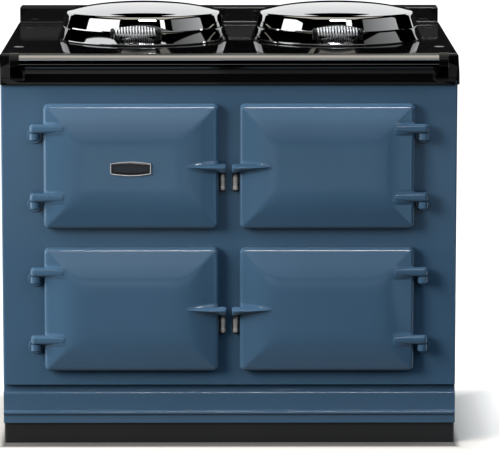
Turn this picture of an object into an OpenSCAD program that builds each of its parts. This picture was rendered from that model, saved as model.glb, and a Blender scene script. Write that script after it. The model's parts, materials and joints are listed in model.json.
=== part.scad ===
// Cast iron range cooker with two hotplates under domed lids, three ovens and a control recess.
// Millimetres. X runs to the right, Y to the back, Z up. The origin is on the floor, at the
// middle of the plinth's width and of the top plate's depth.

/* [Cabinet] */
// Width across the side panels
body_w = 978; // [960:1:1040]
// Depth from the front plate's face to the back panel
body_d = 662; // [640:1:720]
// Height of the plinth
plinth_h = 45; // [35:1:60]
// How far the plinth's front stands back from the front plate's face
plinth_recess = 12; // [8:1:24]
// Height of the lower rail, from the plinth to the front plate
rail_h = 86; // [75:1:100]
// Wall of the cast front plate
front_t = 8; // [6:1:11]
// Depth of the front plate's side flanges
flange_d = 30; // [26:1:40]
// Thickness of the sheet panels
sheet_t = 2.5; // [1.5:0.5:4]

/* [Top plate] */
// Height of the top plate's skirt
skirt_h = 67; // [60:1:80]
// How far the skirt's foot stands out past the cabinet's front
front_overhang = 9; // [6:1:14]
// How far the skirt's foot stands out past each side panel
side_overhang = 4.5; // [3:0.5:8]
// How far the top plate runs back past the back panel
rear_overhang = 27; // [20:1:40]
// Thickness of the cast top
top_t = 10; // [8:1:14]
// Thickness of the skirt at its foot
skirt_t = 16; // [14:1:20]
// How far the skirt leans in from its foot to the top
skirt_lean = 4.5; // [2:0.5:8]
// Height of the lip along the skirt's foot
skirt_lip = 12; // [8:1:16]
// Depth of the hollow along the front of the skirt
fascia_hollow = 3.5; // [2:0.5:5]
// Radius of the top plate's front and side edges
top_edge_r = 5; // [3:0.5:8]
// Height of the upstand above the top plate
upstand_h = 40; // [30:1:60]
// Thickness of the upstand
upstand_t = 30; // [24:1:40]

/* [Doors] */
// Width of a door
door_w = 375; // [370:1:380]
// Height of a door
door_h = 270; // [266:1:275]
// Gap between the left and the right doors
door_gap_x = 45; // [43:1:56]
// Gap between the upper and the lower doors
door_gap_z = 40; // [36:1:50]
// Height of the lower doors above the front plate's lower edge
door_lift = 34; // [28:1:44]
// Height of the front plate above the upper doors
door_head = 39; // [36:1:60]
// Gap between a door's back and the front plate
door_stand_off = 4; // [3:0.5:6]
// Straight part of the door's edge
door_wall = 13; // [11:1:20]
// Radius of the door's rim, across the face
rim_r = 11; // [6:1:13]
// Height of the door's rim above the straight edge
rim_rise = 10; // [5:1:12]
// Height of the door's crown above its rim
crown_rise = 14; // [8:1:18]
// Width of the flat slopes round a door's face, from its edge
slope_w = 45; // [38:1:52]
// Corner radius of a door
door_corner_r = 12; // [6:1:14]
// Wall of the door casting at its rim
door_t = 6; // [5:1:8]
// Depth that the liner plugs into the opening
plug_depth = 25; // [16:1:30]
// Gap between the liner's plug and the opening
plug_clear = 6; // [5:0.5:8]

/* [Ovens] */
// How far a door overlaps the mouth of its oven at each side
lap_x = 15; // [13:0.5:19]
// How far a door overlaps the mouth of its oven above and below
lap_z = 12; // [10:0.5:17]
// Depth of an oven's cavity behind the front plate
oven_d = 480; // [420:1:500]
// Corner radius of an oven's cavity
oven_r = 20; // [14:1:30]
// Wall of a cast oven
oven_t = 7; // [5:1:9]
// Depth of the control recess behind the front plate
control_d = 120; // [100:1:180]

/* [Door hinges] */
// Distance of the hinge axis outside the door's edge
hinge_out = 18.5; // [16:0.5:22]
// Distance of the hinge axis in front of the front plate
hinge_proud = 22; // [19:1:26]
// Radius of a hinge arm's end
arm_r = 11; // [9:0.5:13]
// Height of a hinge arm
arm_h = 20; // [17:1:24]
// How far a hinge arm runs onto the door
arm_reach = 44; // [30:1:50]
// Height of the upper arm above the door's middle
arm_up = 82; // [70:1:95]
// Depth of the lower arm below the door's middle
arm_down = 66; // [60:1:90]
// Height of a hinge lug
lug_h = 16; // [12:1:18]
// Radius of a hinge lug's foot on the front plate
lug_foot_r = 17.5; // [14:0.5:19]
// Radius of a hinge pin
pin_r = 4; // [3:0.5:5]

/* [Handles and catches] */
// Distance of a door handle's end from the cooker's middle
handle_end = 5; // [3:1:8]
// Height of a door handle's end
handle_h = 16; // [13:1:20]
// How far a door handle runs onto the door
handle_reach = 67; // [50:1:80]
// How far a door handle stands out past the door's rim
handle_proud = 21; // [12:1:24]
// Radius of a catch roller
roller_r = 6; // [4.5:0.5:6.5]
// Length of a catch roller
roller_h = 34; // [26:1:40]
// Distance of a catch roller from the cooker's middle
roller_x = 14; // [13:0.5:15]
// Distance of a catch roller's top below the door's middle
roller_drop = 18; // [16:1:24]

/* [Hand rail] */
// Outside radius of the rail tube
rail_r = 12.75; // [10:0.25:16]
// Wall of the rail tube
rail_t = 1.5; // [1:0.5:3]
// Length of rail between its brackets
rail_len = 888; // [800:1:900]
// Distance of the rail's axis in front of the skirt's foot
rail_proud = 56; // [45:1:70]
// Depth of the rail's axis below the top
rail_drop = 9; // [8:1:20]
// Thickness of a rail bracket along the rail
bracket_t = 20; // [14:1:24]

/* [Hotplates and lids] */
// Distance of the left hotplate from the cooker's middle
left_plate_x = 191; // [189:1:196]
// Distance of the right hotplate from the cooker's middle
right_plate_x = 239; // [232:1:242]
// Distance of the hotplates behind the skirt's foot
plate_y = 336; // [325:1:350]
// Radius of a hotplate
hotplate_r = 170; // [165:1:172]
// How far a hotplate stands above the top
hotplate_proud = 5; // [2:1:6]
// Thickness of a hotplate
hotplate_t = 40; // [30:1:44]
// Outside radius of a lid's rim at its foot
lid_r = 190; // [188:1:192]
// Height of a lid's rim
lid_rim_h = 29; // [26:1:34]
// Height of a lid's crown above the top plate
lid_h = 78; // [74:1:90]
// Wall of a lid's shell
lid_t = 2; // [1.5:0.5:3]
// Distance of the lid hinge's axis behind the hotplate's middle
lid_pivot_y = 241; // [236:1:250]
// Height of the lid hinge's axis above the top plate
lid_pivot_z = 29; // [26:1:34]

/* [Lid handles] */
// Distance of a lid handle in front of the lid's middle
coil_y = 215; // [212:1:222]
// Height of a lid handle above the top plate
coil_z = 34.5; // [32:0.5:38]
// Length of the coil grip
coil_len = 94; // [80:1:110]
// Diameter of the coil's wire
coil_wire = 4; // [3:0.5:4.5]
// Turns of the coil
coil_turns = 14; // [11:1:15]
// Outside radius of the coil at its ends
coil_end_r = 9; // [8.5:0.5:11]
// Outside radius of the coil at its middle
coil_mid_r = 13; // [11:0.5:15]
// Turn of the left handle about its lid, in degrees
left_handle_turn = -3; // [-6:0.5:6]
// Turn of the right handle about its lid, in degrees
right_handle_turn = -1; // [-6:0.5:6]

/* [Controls and services] */
// Distance of the control panel behind the front plate's face
panel_set_back = 70; // [60:1:90]
// Radius of a control knob
knob_r = 19; // [15:1:24]
// Height of a control knob
knob_h = 22; // [16:1:26]
// Distance between the control knobs
knob_pitch = 92; // [80:1:110]
// Outside radius of the vent spigot
vent_r = 16; // [12:1:22]
// Radius of the bore through the cable gland
gland_bore_r = 6; // [4:0.5:7]
// Distance of the vent spigot from the cabinet's left side
vent_inset = 129; // [100:1:200]
// Distance of the cable gland from the cabinet's right side
gland_inset = 89; // [60:1:200]
// Height of the gland above the plinth, and depth of the spigot below the cabinet's top
service_rise = 60; // [50:1:100]

/* [Hidden] */
$fn = 64;
running_gap = 0.05;     // a pin in the piece that turns on it
seat_gap = 0.02;        // a pin in the piece that holds it
face_gap = 0.3;         // between pieces that move past each other
rest_gap = 0.15;        // between curved faces that lie against each other
eps = 0.01;

skirt_w = body_w + 2 * side_overhang;
skirt_d = body_d + front_overhang + rear_overhang;
skirt_front = -skirt_d / 2;
front_y = skirt_front + front_overhang;
front_back = front_y + front_t;
back_y = front_y + body_d;
flange_back = front_y + flange_d;
front_z = plinth_h + rail_h;
front_h = door_lift + 2 * door_h + door_gap_z + door_head;
body_top = front_z + front_h;
top_z = body_top + skirt_h;
flange_t = 6;
corner_r = 5;

door_x = door_gap_x / 2 + door_w / 2;
oven_w = door_w - 2 * lap_x;    // an oven's mouth and cavity
oven_h = door_h - 2 * lap_z;
door_edge_in = door_gap_x / 2;
door_edge_out = door_gap_x / 2 + door_w;
door_back = front_y - door_stand_off;
door_rim = door_wall + rim_rise;
low_z = front_z + door_lift + door_h / 2;
high_z = low_z + door_h + door_gap_z;
pivot_x = door_edge_out + hinge_out;
pivot_y = front_y - hinge_proud;
arm_offsets = [arm_up, -arm_down];
pin_in_arm = arm_h * 0.75;

plate_mid_y = skirt_front + plate_y;
plate_mids = [[-left_plate_x, plate_mid_y], [right_plate_x, plate_mid_y]];
hotplate_hole_r = hotplate_r + 2;
top_lean = skirt_lean * (skirt_h - skirt_lip) / skirt_h;
rail_y = skirt_front - rail_proud;
rail_z = top_z - rail_drop;
socket_d = bracket_t / 2;
lid_lift = face_gap;
rim_slope = 11.5;       // how far a lid's rim leans in over its height

// ---- helpers ----

// A rounded rectangle centred on the origin.
module rounded_rect(w, h, r) {
    square([w - 2 * r, h], center = true);
    square([w, h - 2 * r], center = true);
    for (x = [-1, 1]) for (y = [-1, 1])
        translate([x * (w / 2 - r), y * (h / 2 - r)]) circle(r);
}

// Draws a profile of (y, z) points along X, centred on x = 0.
module along_x(length) {
    translate([-length / 2, 0, 0]) rotate([90, 0, 90]) linear_extrude(length) children();
}

// Raises a profile of (x, z) points from y = front towards the back.
module backwards(front, depth) {
    translate([0, front + depth, 0]) rotate([90, 0, 0]) linear_extrude(depth) children();
}

// Draws what is given for the right side on the chosen side.
module on_side(side) {
    if (side < 0) mirror([1, 0, 0]) children();
    else children();
}

module at_lid(i) translate([plate_mids[i][0], plate_mids[i][1], top_z]) children();

// A place on the four doors' grid: the mouth of an oven.
module at_mouth(side, mid_z, front) translate([side * door_x, front, mid_z]) children();

// ---- cabinet ----

module plinth() color("#1b1b1c") {
    wall = 4;
    deck = 6;
    bearer_w = 30;
    front = front_y + plinth_recess;
    depth = back_y - front;
    inset = 1;
    difference() {
        translate([0, front + depth / 2, 0]) linear_extrude(plinth_h)
            rounded_rect(body_w - 2 * inset, depth, corner_r);
        difference() {
            translate([-body_w / 2 + inset + wall, front + wall, -eps])
                cube([body_w - 2 * (inset + wall), depth - 2 * wall, plinth_h - deck + eps]);
            for (x = [-body_w / 3, 0, body_w / 3])
                translate([x - bearer_w / 2, front, -2 * eps]) cube([bearer_w, depth, plinth_h]);
        }
    }
}

module lower_rail() color("#3e586e") {
    wall = 6;
    face = front_y + 5;          // stands back from the front plate
    step = 16;                   // height of the set-back strip under the front plate
    nose_r = 6;
    bead_r = 5;
    bead_z = plinth_h + 23;
    shoulder = front_z - step;
    along_x(body_w) difference() {
        union() {
            translate([face, plinth_h]) square([flange_back - face, shoulder - nose_r - plinth_h]);
            translate([face + nose_r, plinth_h]) square([flange_back - face - nose_r, shoulder - plinth_h]);
            translate([face + nose_r, shoulder - nose_r]) circle(nose_r);
            translate([face + 2 * nose_r, plinth_h]) square([flange_back - face - 2 * nose_r, rail_h]);
            translate([face, bead_z]) circle(bead_r);
        }
        translate([face + wall + bead_r, plinth_h + wall])
            square([flange_back - face, shoulder - 2 * wall - plinth_h]);
    }
}

module front_plate() color("#3e586e") {
    difference() {
        translate([0, front_y, front_z]) linear_extrude(front_h) {
            translate([-body_w / 2 + corner_r, 0]) square([body_w - 2 * corner_r, flange_d]);
            translate([-body_w / 2, corner_r]) square([body_w, flange_d - corner_r]);
            for (x = [-1, 1]) translate([x * (body_w / 2 - corner_r), corner_r]) circle(corner_r);
        }
        translate([-body_w / 2 + flange_t, front_back, front_z + flange_t])
            cube([body_w - 2 * flange_t, flange_d, front_h - 2 * flange_t]);
        for (side = [-1, 1]) for (z = [low_z, high_z])
            at_mouth(side, z, 0) backwards(front_y - 1, front_t + 2) rounded_rect(oven_w, oven_h, oven_r);
    }
}

panel_fold = 16;

module side_panel(side) color("#3e586e") on_side(side) {
    depth = back_y - sheet_t - flange_back;
    translate([body_w / 2, flange_back, plinth_h]) linear_extrude(body_top - plinth_h) {
        translate([-sheet_t, 0]) square([sheet_t, depth]);
        translate([-panel_fold, depth - sheet_t]) square([panel_fold, sheet_t]);
    }
}

module back_panel() color("#9a9ea1") {
    difference() {
        translate([-body_w / 2, back_y - sheet_t, plinth_h])
            cube([body_w, sheet_t, body_top - plinth_h]);
        vent_axis() cylinder(r = vent_r + rest_gap, h = 4 * sheet_t, center = true);
        gland_axis() cylinder(r = gland_stem_r + rest_gap, h = 4 * sheet_t, center = true);
    }
}

// ---- top ----

// The skirt leans in from its lip to the top, on all four sides. Its edges end in arcs.
module skirt_side(half, far_r) {
    lip = body_top + skirt_lip;
    polygon(concat([[-half, lip], [-half, body_top], [half, body_top], [half, lip]],
        [for (a = [0:22.5:90]) [half - top_lean - far_r * (1 - cos(a)), top_z - far_r * (1 - sin(a))]],
        [for (a = [90:-22.5:0])
            [-half + top_lean + top_edge_r * (1 - cos(a)), top_z - top_edge_r * (1 - sin(a))]]));
}

module top_plate() color("#0c0c0d") {
    corner = 12;
    hollow_h = skirt_h - skirt_lip - 12;
    hollow_r = (pow(hollow_h / 2, 2) + pow(fascia_hollow, 2)) / (2 * fascia_hollow);
    hollow_len = 872;
    difference() {
        intersection() {
            along_x(skirt_w) skirt_side(skirt_d / 2, 1);
            backwards(skirt_front, skirt_d) skirt_side(skirt_w / 2, top_edge_r);
            translate([0, 0, body_top]) linear_extrude(skirt_h) rounded_rect(skirt_w, skirt_d, corner);
        }
        translate([-skirt_w / 2 + skirt_t, skirt_front + skirt_t, body_top - 1])
            cube([skirt_w - 2 * skirt_t, skirt_d - 2 * skirt_t, skirt_h - top_t + 1]);
        for (p = plate_mids) translate([p[0], p[1], top_z - top_t - 1])
            cylinder(r = hotplate_hole_r, h = top_t + 2);
        for (p = plug_places) translate([p[0], p[1], top_z]) {
            translate([0, 0, -top_t - 1]) cylinder(r = plug_stem_r + rest_gap, h = top_t + 2);
            translate([0, 0, -plug_head_t]) cylinder(r = plug_head_r + rest_gap, h = plug_head_t + 1);
        }
        translate([-hollow_len / 2, skirt_front + top_lean / 2 + fascia_hollow - hollow_r,
            body_top + skirt_lip + hollow_h / 2])
            rotate([0, 90, 0]) cylinder(r = hollow_r, h = hollow_len);
    }
}

module upstand() color("#0c0c0d") {
    back = -skirt_front - top_lean - 1;
    cove_r = 6;
    corner = 6;
    half = skirt_w / 2 - top_lean - top_edge_r;
    intersection() {
        along_x(2 * half) {
            translate([back - upstand_t, top_z]) square([upstand_t, upstand_h - cove_r]);
            translate([back - upstand_t + cove_r, top_z]) square([upstand_t - cove_r, upstand_h]);
            translate([back - upstand_t + cove_r, top_z + upstand_h - cove_r]) circle(cove_r);
            difference() {
                translate([back - upstand_t - cove_r, top_z]) square([cove_r + 1, cove_r]);
                translate([back - upstand_t - cove_r, top_z + cove_r]) circle(cove_r);
            }
        }
        backwards(back - upstand_t - 2 * cove_r, upstand_t + 2 * cove_r)
            translate([0, top_z]) union() {
                square([2 * half, 2 * (upstand_h - corner)], center = true);
                square([2 * (half - corner), 2 * upstand_h], center = true);
                for (x = [-1, 1]) translate([x * (half - corner), upstand_h - corner]) circle(corner);
            }
    }
}

plug_head_r = 11;
plug_head_t = 2;
plug_stem_r = 7;
plug_inset = 36.5;
plug_front = 146;
plug_pitch = 410;
plug_places = [for (x = [-1, 1]) for (y = [0, plug_pitch])
    [x * (skirt_w / 2 - plug_inset), skirt_front + plug_front + y]];

module plate_plugs() color("#6d7074") {
    for (p = plug_places) translate([p[0], p[1], top_z]) {
        translate([0, 0, -plug_head_t]) cylinder(r = plug_head_r, h = plug_head_t);
        translate([0, 0, -top_t]) cylinder(r = plug_stem_r, h = top_t - 1);
    }
}

// ---- hand rail ----

module handrail() color("#c4c7ca") {
    length = rail_len + 2 * socket_d - 1;
    translate([-length / 2, rail_y, rail_z]) rotate([0, 90, 0]) difference() {
        cylinder(r = rail_r, h = length);
        translate([0, 0, -1]) cylinder(r = rail_r - rail_t, h = length + 2);
    }
}

module rail_brackets() color("#0c0c0d") {
    foot_top = skirt_h - skirt_lip - 10;
    eye_r = rail_r + 4;
    pad = 4;
    for (side = [-1, 1]) on_side(side) difference() {
        union() {
            translate([rail_len / 2 + bracket_t / 2, 0, 0]) along_x(bracket_t) hull() {
                translate([rail_y, rail_z]) circle(eye_r, $fn = 32);
                translate([skirt_front - pad, body_top + skirt_lip + 4]) square([pad, foot_top - 4]);
            }
            translate([rail_len / 2 - 4, skirt_front - pad, body_top + skirt_lip])
                cube([bracket_t + 8, 2 * pad + skirt_lean, foot_top]);
        }
        translate([rail_len / 2 - 1, rail_y, rail_z]) rotate([0, 90, 0])
            cylinder(r = rail_r + running_gap, h = socket_d + 1);
        // the pad lies on the leaning skirt
        along_x(skirt_w + 2) translate([-rest_gap, 0]) skirt_side(skirt_d / 2, 1);
    }
}

// ---- hotplates ----

module hotplate(i) color("#4a4b4d") at_lid(i) {
    flange_h = 12;
    flange_r = hotplate_hole_r + 10;
    rim = 3;
    rotate_extrude() polygon([[0, hotplate_proud - hotplate_t], [hotplate_r - 8, hotplate_proud - hotplate_t],
        [hotplate_r - 8, -top_t - flange_h], [flange_r, -top_t - flange_h], [flange_r, -top_t],
        [hotplate_r, -top_t], [hotplate_r, hotplate_proud - rim], [hotplate_r - rim, hotplate_proud],
        [0, hotplate_proud]]);
}

rod_r = 5;
ring_in_r = 60;
ring_out_r = 110;
loop_run = 130;
loop_r = 90;

module heating_elements() color("#55504b") {
    for (i = [0, 1]) at_lid(i) for (ring_r = [ring_in_r, ring_out_r])
        translate([0, 0, hotplate_proud - hotplate_t - rod_r - rest_gap])
            rotate_extrude() translate([ring_r, 0]) circle(rod_r);
    for (p = [[1, high_z], [1, low_z], [-1, low_z]])
        translate([p[0] * door_x, front_back + oven_d / 2, p[1] - oven_h / 2 - oven_t - rod_r - rest_gap])
            rod_loop(loop_run, loop_r);
}

// A flat loop of rod: two straight runs joined by half rings.
module rod_loop(run, bend_r) {
    for (side = [-1, 1]) {
        translate([side * bend_r, -run / 2, 0]) rotate([-90, 0, 0]) cylinder(r = rod_r, h = run);
        translate([0, side * run / 2, 0]) rotate([0, 0, side > 0 ? 0 : 180])
            rotate_extrude(angle = 180) translate([bend_r, 0]) circle(rod_r);
    }
}

// ---- ovens and controls ----

shelf_rod_r = 2.5;
runner_proud = 5;
runner_h = 6;
runner_steps = [-80, -40, 0, 40, 80];
runner_start = 40;
runner_end = 20;

module oven(side, mid_z) color("#3a3a3c") at_mouth(side, mid_z, 0) {
    lip = 12;
    lip_t = 6;
    run = oven_d - runner_start - runner_end;
    difference() {
        union() {
            backwards(front_back, oven_d + oven_t)
                rounded_rect(oven_w + 2 * oven_t, oven_h + 2 * oven_t, oven_r + oven_t);
            backwards(front_back, lip_t)
                rounded_rect(oven_w + 2 * (oven_t + lip), oven_h + 2 * (oven_t + lip), oven_r + lip);
        }
        backwards(front_back - 1, oven_d + 1) rounded_rect(oven_w, oven_h, oven_r);
    }
    for (x = [-1, 1]) for (z = runner_steps)
        translate([x * (oven_w / 2 - runner_proud / 2 + 0.5), front_back + runner_start + run / 2, z])
            cube([runner_proud + 1, run, runner_h], center = true);
}

module oven_shelves() color("#a9acae") {
    for (p = [[1, high_z], [1, low_z], [-1, low_z]])
        translate([p[0] * door_x, front_back + runner_start + 4,
            p[1] + runner_steps[0] + runner_h / 2 + shelf_rod_r]) shelf();
}

module shelf() {
    width = oven_w - 9;
    depth = oven_d - 2 * runner_start;
    bars = 13;
    end = 8;
    for (x = [-width / 2, width / 2]) translate([x, 0, 0]) rod_y(depth);
    for (y = [end, depth - end]) translate([-width / 2, y, 0]) rotate([0, 90, 0])
        cylinder(r = shelf_rod_r, h = width, $fn = 8);
    for (i = [1:bars]) translate([-width / 2 + i * width / (bars + 1), 0, 2]) rod_y(depth);
}

module rod_y(length) rotate([-90, 0, 0]) cylinder(r = shelf_rod_r, h = length, $fn = 8);

module control_box() color("#77797c") at_mouth(-1, high_z, 0) {
    lip = 10;
    difference() {
        union() {
            backwards(front_back, control_d) rounded_rect(oven_w + 2 * sheet_t, oven_h + 2 * sheet_t, oven_r);
            backwards(front_back, sheet_t) rounded_rect(oven_w + 2 * lip, oven_h + 2 * lip, oven_r);
        }
        backwards(front_back - 1, control_d - sheet_t + 1) rounded_rect(oven_w, oven_h, oven_r);
    }
}

knob_shaft_r = 3;
knob_places = [for (i = [-1, 0, 1]) i * knob_pitch];
panel_t = 3;
panel_y = front_y + panel_set_back;

module control_panel() color("#2a2b2d") at_mouth(-1, high_z, 0) difference() {
    backwards(panel_y, panel_t)
        rounded_rect(oven_w - 2 * rest_gap, oven_h - 2 * rest_gap, oven_r);
    for (x = knob_places) translate([x, panel_y, 0]) rotate([90, 0, 0])
        cylinder(r = knob_shaft_r + running_gap, h = 4 * panel_t, center = true);
}

module knob(i) color("#d8d8d6") at_mouth(-1, high_z, panel_y)
    translate([knob_places[i], 0, 0]) rotate([90, 0, 0]) {
    skirt = 7;
    grip_w = 9;
    translate([0, 0, face_gap]) cylinder(r = knob_r, h = skirt);
    translate([0, 0, face_gap]) intersection() {
        cylinder(r = knob_r, h = knob_h);
        translate([-grip_w / 2, -knob_r, 0]) cube([grip_w, 2 * knob_r, knob_h]);
    }
    translate([0, 0, -panel_t - 9]) cylinder(r = knob_shaft_r, h = panel_t + 9 + skirt);
}

// Loose fill between the ovens, the hotplates and the cabinet.
module insulation() color("#d9d0b4") {
    room = 0.5;
    lip_back = front_back + 6.5;    // behind the lips of the ovens
    front = flange_back + 2;
    back = back_y - sheet_t - 6;
    half = skirt_w / 2 - skirt_t - 1;
    well_r = hotplate_hole_r + 12;
    well_foot = top_z + hotplate_proud - hotplate_t - 12;
    oven_end = front_back + oven_d + oven_t;
    loop_half = loop_r + 3 * rod_r;
    difference() {
        union() {
            translate([-half, front, plinth_h])
                cube([2 * half, back - front, top_z - top_t - room - plinth_h]);
            translate([-half, lip_back, front_z + flange_t + 1])
                cube([2 * half, front - lip_back + 1, front_h - 2 * flange_t - 2]);
        }
        for (p = plate_mids) translate([p[0], p[1], well_foot]) cylinder(r = well_r, h = skirt_h);
        for (p = [[1, high_z], [1, low_z], [-1, low_z]]) {
            at_mouth(p[0], p[1], 0) backwards(lip_back - 1, oven_end + room - lip_back + 1)
                rounded_rect(oven_w + 2 * (oven_t + room), oven_h + 2 * (oven_t + room), oven_r + oven_t);
            translate([p[0] * door_x - loop_half, front_back + oven_d / 2 - loop_half - loop_run / 2,
                p[1] - oven_h / 2 - oven_t - 2 * rod_r - 1])
                cube([2 * loop_half, 2 * loop_half + loop_run, 2 * rod_r + 2]);
        }
        at_mouth(-1, high_z, 0) backwards(lip_back - 1, front_back + control_d + room - lip_back + 1)
            rounded_rect(oven_w + 2 * (sheet_t + room), oven_h + 2 * (sheet_t + room), oven_r);
    }
}

// ---- services at the back ----

gland_stem_r = 10;
stem_in = 6;            // how far the spigot and the gland reach in past the back panel's face
vent_len = rear_overhang - 2;
module vent_axis() translate([vent_inset - body_w / 2, back_y, body_top - service_rise])
    rotate([-90, 0, 0]) children();
module gland_axis() translate([body_w / 2 - gland_inset, back_y, plinth_h + service_rise])
    rotate([-90, 0, 0]) children();

module vent_spigot() color("#9a9ea1") vent_axis() {
    wall = 1.5;
    flange_r = vent_r + 11;
    difference() {
        union() {
            translate([0, 0, -stem_in]) cylinder(r = vent_r, h = vent_len + stem_in);
            cylinder(r = flange_r, h = 2);
        }
        translate([0, 0, -stem_in - 1]) cylinder(r = vent_r - wall, h = vent_len + stem_in + 2);
    }
}

module cable_gland() color("#202022") gland_axis() {
    nut_h = 7;
    body_h = 20;
    difference() {
        union() {
            translate([0, 0, -stem_in]) cylinder(r = gland_stem_r, h = stem_in + 1);
            cylinder(r = 15, h = nut_h, $fn = 6);
            cylinder(r = 12, h = body_h);
        }
        translate([0, 0, -stem_in - 1]) cylinder(r = gland_bore_r, h = body_h + stem_in + 2);
    }
}

// ---- door hinges and catches ----

module hinge_lugs() color("#3e586e") {
    foot_t = 3;
    ease = 3;
    for (side = [-1, 1]) on_side(side) for (z = [low_z, high_z]) for (dz = arm_offsets)
        translate([pivot_x, pivot_y, z + dz - arm_h / 2 - face_gap - lug_h]) difference() {
            union() {
                translate([0, 0, ease]) cylinder(r = arm_r, h = lug_h - ease);
                cylinder(r1 = arm_r - ease, r2 = arm_r, h = ease);
                translate([0, 0, lug_h / 2]) rotate([-90, 0, 0]) cylinder(r = lug_h / 2 - 1, h = hinge_proud);
                translate([0, hinge_proud - foot_t, lug_h / 2]) rotate([-90, 0, 0])
                    cylinder(r1 = lug_foot_r - foot_t / 2, r2 = lug_foot_r, h = foot_t);
            }
            translate([0, 0, -1]) cylinder(r = pin_r + seat_gap, h = lug_h + 2);
        }
}

module pivot_pins() color("#b9bbbd") {
    for (side = [-1, 1]) on_side(side) for (z = [low_z, high_z]) {
        for (dz = arm_offsets)
            translate([pivot_x, pivot_y, z + dz - arm_h / 2 - face_gap - lug_h])
                cylinder(r = pin_r, h = lug_h + face_gap + pin_in_arm - 1);
        translate([roller_x, roller_y, z - roller_drop - roller_h - roller_ear])
            cylinder(r = spindle_r, h = roller_h + 2 * roller_ear);
    }
    for (i = [0, 1]) at_lid(i) translate([-lid_pin_half, lid_pivot_y, lid_pivot_z]) rotate([0, 90, 0])
        cylinder(r = lid_pin_r, h = 2 * lid_pin_half);
}

roller_ear = 3;
spindle_r = 2;
bracket_back_t = 2.5;
roller_y = front_y - bracket_back_t - 1.5 - roller_r;

module catch_brackets() color("#0c0c0d") {
    inner = roller_r + 1;
    outer = roller_r + 3;
    for (side = [-1, 1]) on_side(side) for (z = [low_z, high_z])
        translate([roller_x, 0, z - roller_drop - roller_h]) difference() {
            union() {
                translate([-inner, front_y - bracket_back_t, -roller_ear])
                    cube([inner + outer, bracket_back_t, roller_h + 2 * roller_ear]);
                for (foot = [-roller_ear, roller_h + face_gap])
                    translate([0, 0, foot]) linear_extrude(roller_ear - face_gap) {
                        translate([0, roller_y]) circle(roller_r - 0.5);
                        translate([-roller_r + 0.5, roller_y]) square([2 * roller_r - 1, front_y - roller_y]);
                    }
            }
            translate([0, roller_y, -roller_ear - 1])
                cylinder(r = spindle_r + seat_gap, h = roller_h + 2 * roller_ear + 2);
        }
}

module roller(side, mid_z) color("#9b9a97") on_side(side)
    translate([roller_x, roller_y, mid_z - roller_drop - roller_h]) difference() {
        groove = 0.8;
        rotate_extrude() polygon([[0, 0], [roller_r, 0], [roller_r, roller_h * 0.28],
            [roller_r - groove, roller_h * 0.31], [roller_r, roller_h * 0.34], [roller_r, roller_h * 0.78],
            [roller_r - groove, roller_h * 0.81], [roller_r, roller_h * 0.84], [roller_r, roller_h - 1],
            [roller_r - 1, roller_h], [0, roller_h]]);
        translate([0, 0, -1]) cylinder(r = spindle_r + running_gap, h = roller_h + 2);
    }

// ---- doors ----

rim_turn = 72;          // degrees of arc in a door's rim, up to where the slope takes over
crown_fade = 36;        // from the slopes' end to the flat middle of a door

module door_layer(inset, height) {
    translate([0, 0, height - eps]) linear_extrude(eps)
        rounded_rect(door_w - 2 * inset, door_h - 2 * inset, max(door_corner_r - inset, 1));
}

// The outside of a door: straight edge, rounded rim, and four slopes that ease into a flat middle.
module door_form() {
    at_mouth(1, 0, door_back) rotate([90, 0, 0]) hull() {
        door_layer(0, eps, $fn = 32);
        for (a = [0:18:rim_turn]) door_layer(rim_r * (1 - cos(a)), door_wall + rim_rise * sin(a), $fn = 32);
        for (u = [[0, 0.75], [0.28, 0.886], [0.61, 0.971], [1, 1]])
            door_layer(slope_w + crown_fade * u[0], door_rim + crown_rise * u[1], $fn = 8);
    }
}

// A cast arm: a round end on the hinge axis that runs inwards until the slope of the door swallows it.
module hinge_arm() {
    nose_r = 6;
    hull() {
        translate([pivot_x, pivot_y, -arm_h / 2]) cylinder(r = arm_r - 1.5, h = arm_h, $fn = 32);
        translate([pivot_x, pivot_y, -arm_h / 2 + 1.5]) cylinder(r = arm_r, h = arm_h - 3, $fn = 32);
        translate([door_edge_out - arm_reach, door_back - door_rim - 2.5, -arm_h / 2 + 1.5])
            cylinder(r1 = nose_r - 1, r2 = nose_r, h = arm_h - 3, $fn = 24);
    }
}

// A cast handle: a blunt end in the middle gap that tapers to a point on the door.
module door_handle() {
    nose_r = 7;
    face = door_back - door_rim;
    front = face - handle_proud + nose_r;
    hull() {
        for (z = [-1, 1]) for (y = [face + 3, front])
            translate([handle_end + nose_r, y, z * (handle_h / 2 - nose_r)]) sphere(nose_r, $fn = 20);
        translate([door_edge_in + 12, front - 1, 0]) sphere(nose_r - 1, $fn = 20);
        translate([door_edge_in + handle_reach, face - crown_rise + 1, 1.5]) sphere(2.5, $fn = 16);
    }
}

module door(side, mid_z) color("#47627a") translate([0, 0, mid_z]) on_side(side) {
    pocket = door_rim - door_t;
    margin = 22;
    nose_drop = 6;
    difference() {
        union() {
            door_form();
            for (dz = arm_offsets) translate([0, 0, dz]) hinge_arm();
            door_handle();
            // the nose under the handle's end, above the catch roller
            hull() for (x = [handle_end + 6, handle_end + 11])
                translate([x, door_back - door_rim - 3, -handle_h / 2 - nose_drop])
                    cylinder(r = 5, h = handle_h / 2 + nose_drop);
        }
        at_mouth(1, 0, 0) backwards(door_back - pocket, pocket + 1)
            rounded_rect(door_w - 2 * margin, door_h - 2 * margin, oven_r);
        for (dz = arm_offsets) translate([pivot_x, pivot_y, dz - arm_h / 2 - 1])
            cylinder(r = pin_r + running_gap, h = pin_in_arm + 1);
    }
}

plug_w = oven_w - 2 * plug_clear;
plug_h = oven_h - 2 * plug_clear;
seal_w = 6;
seal_off = 2;

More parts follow.
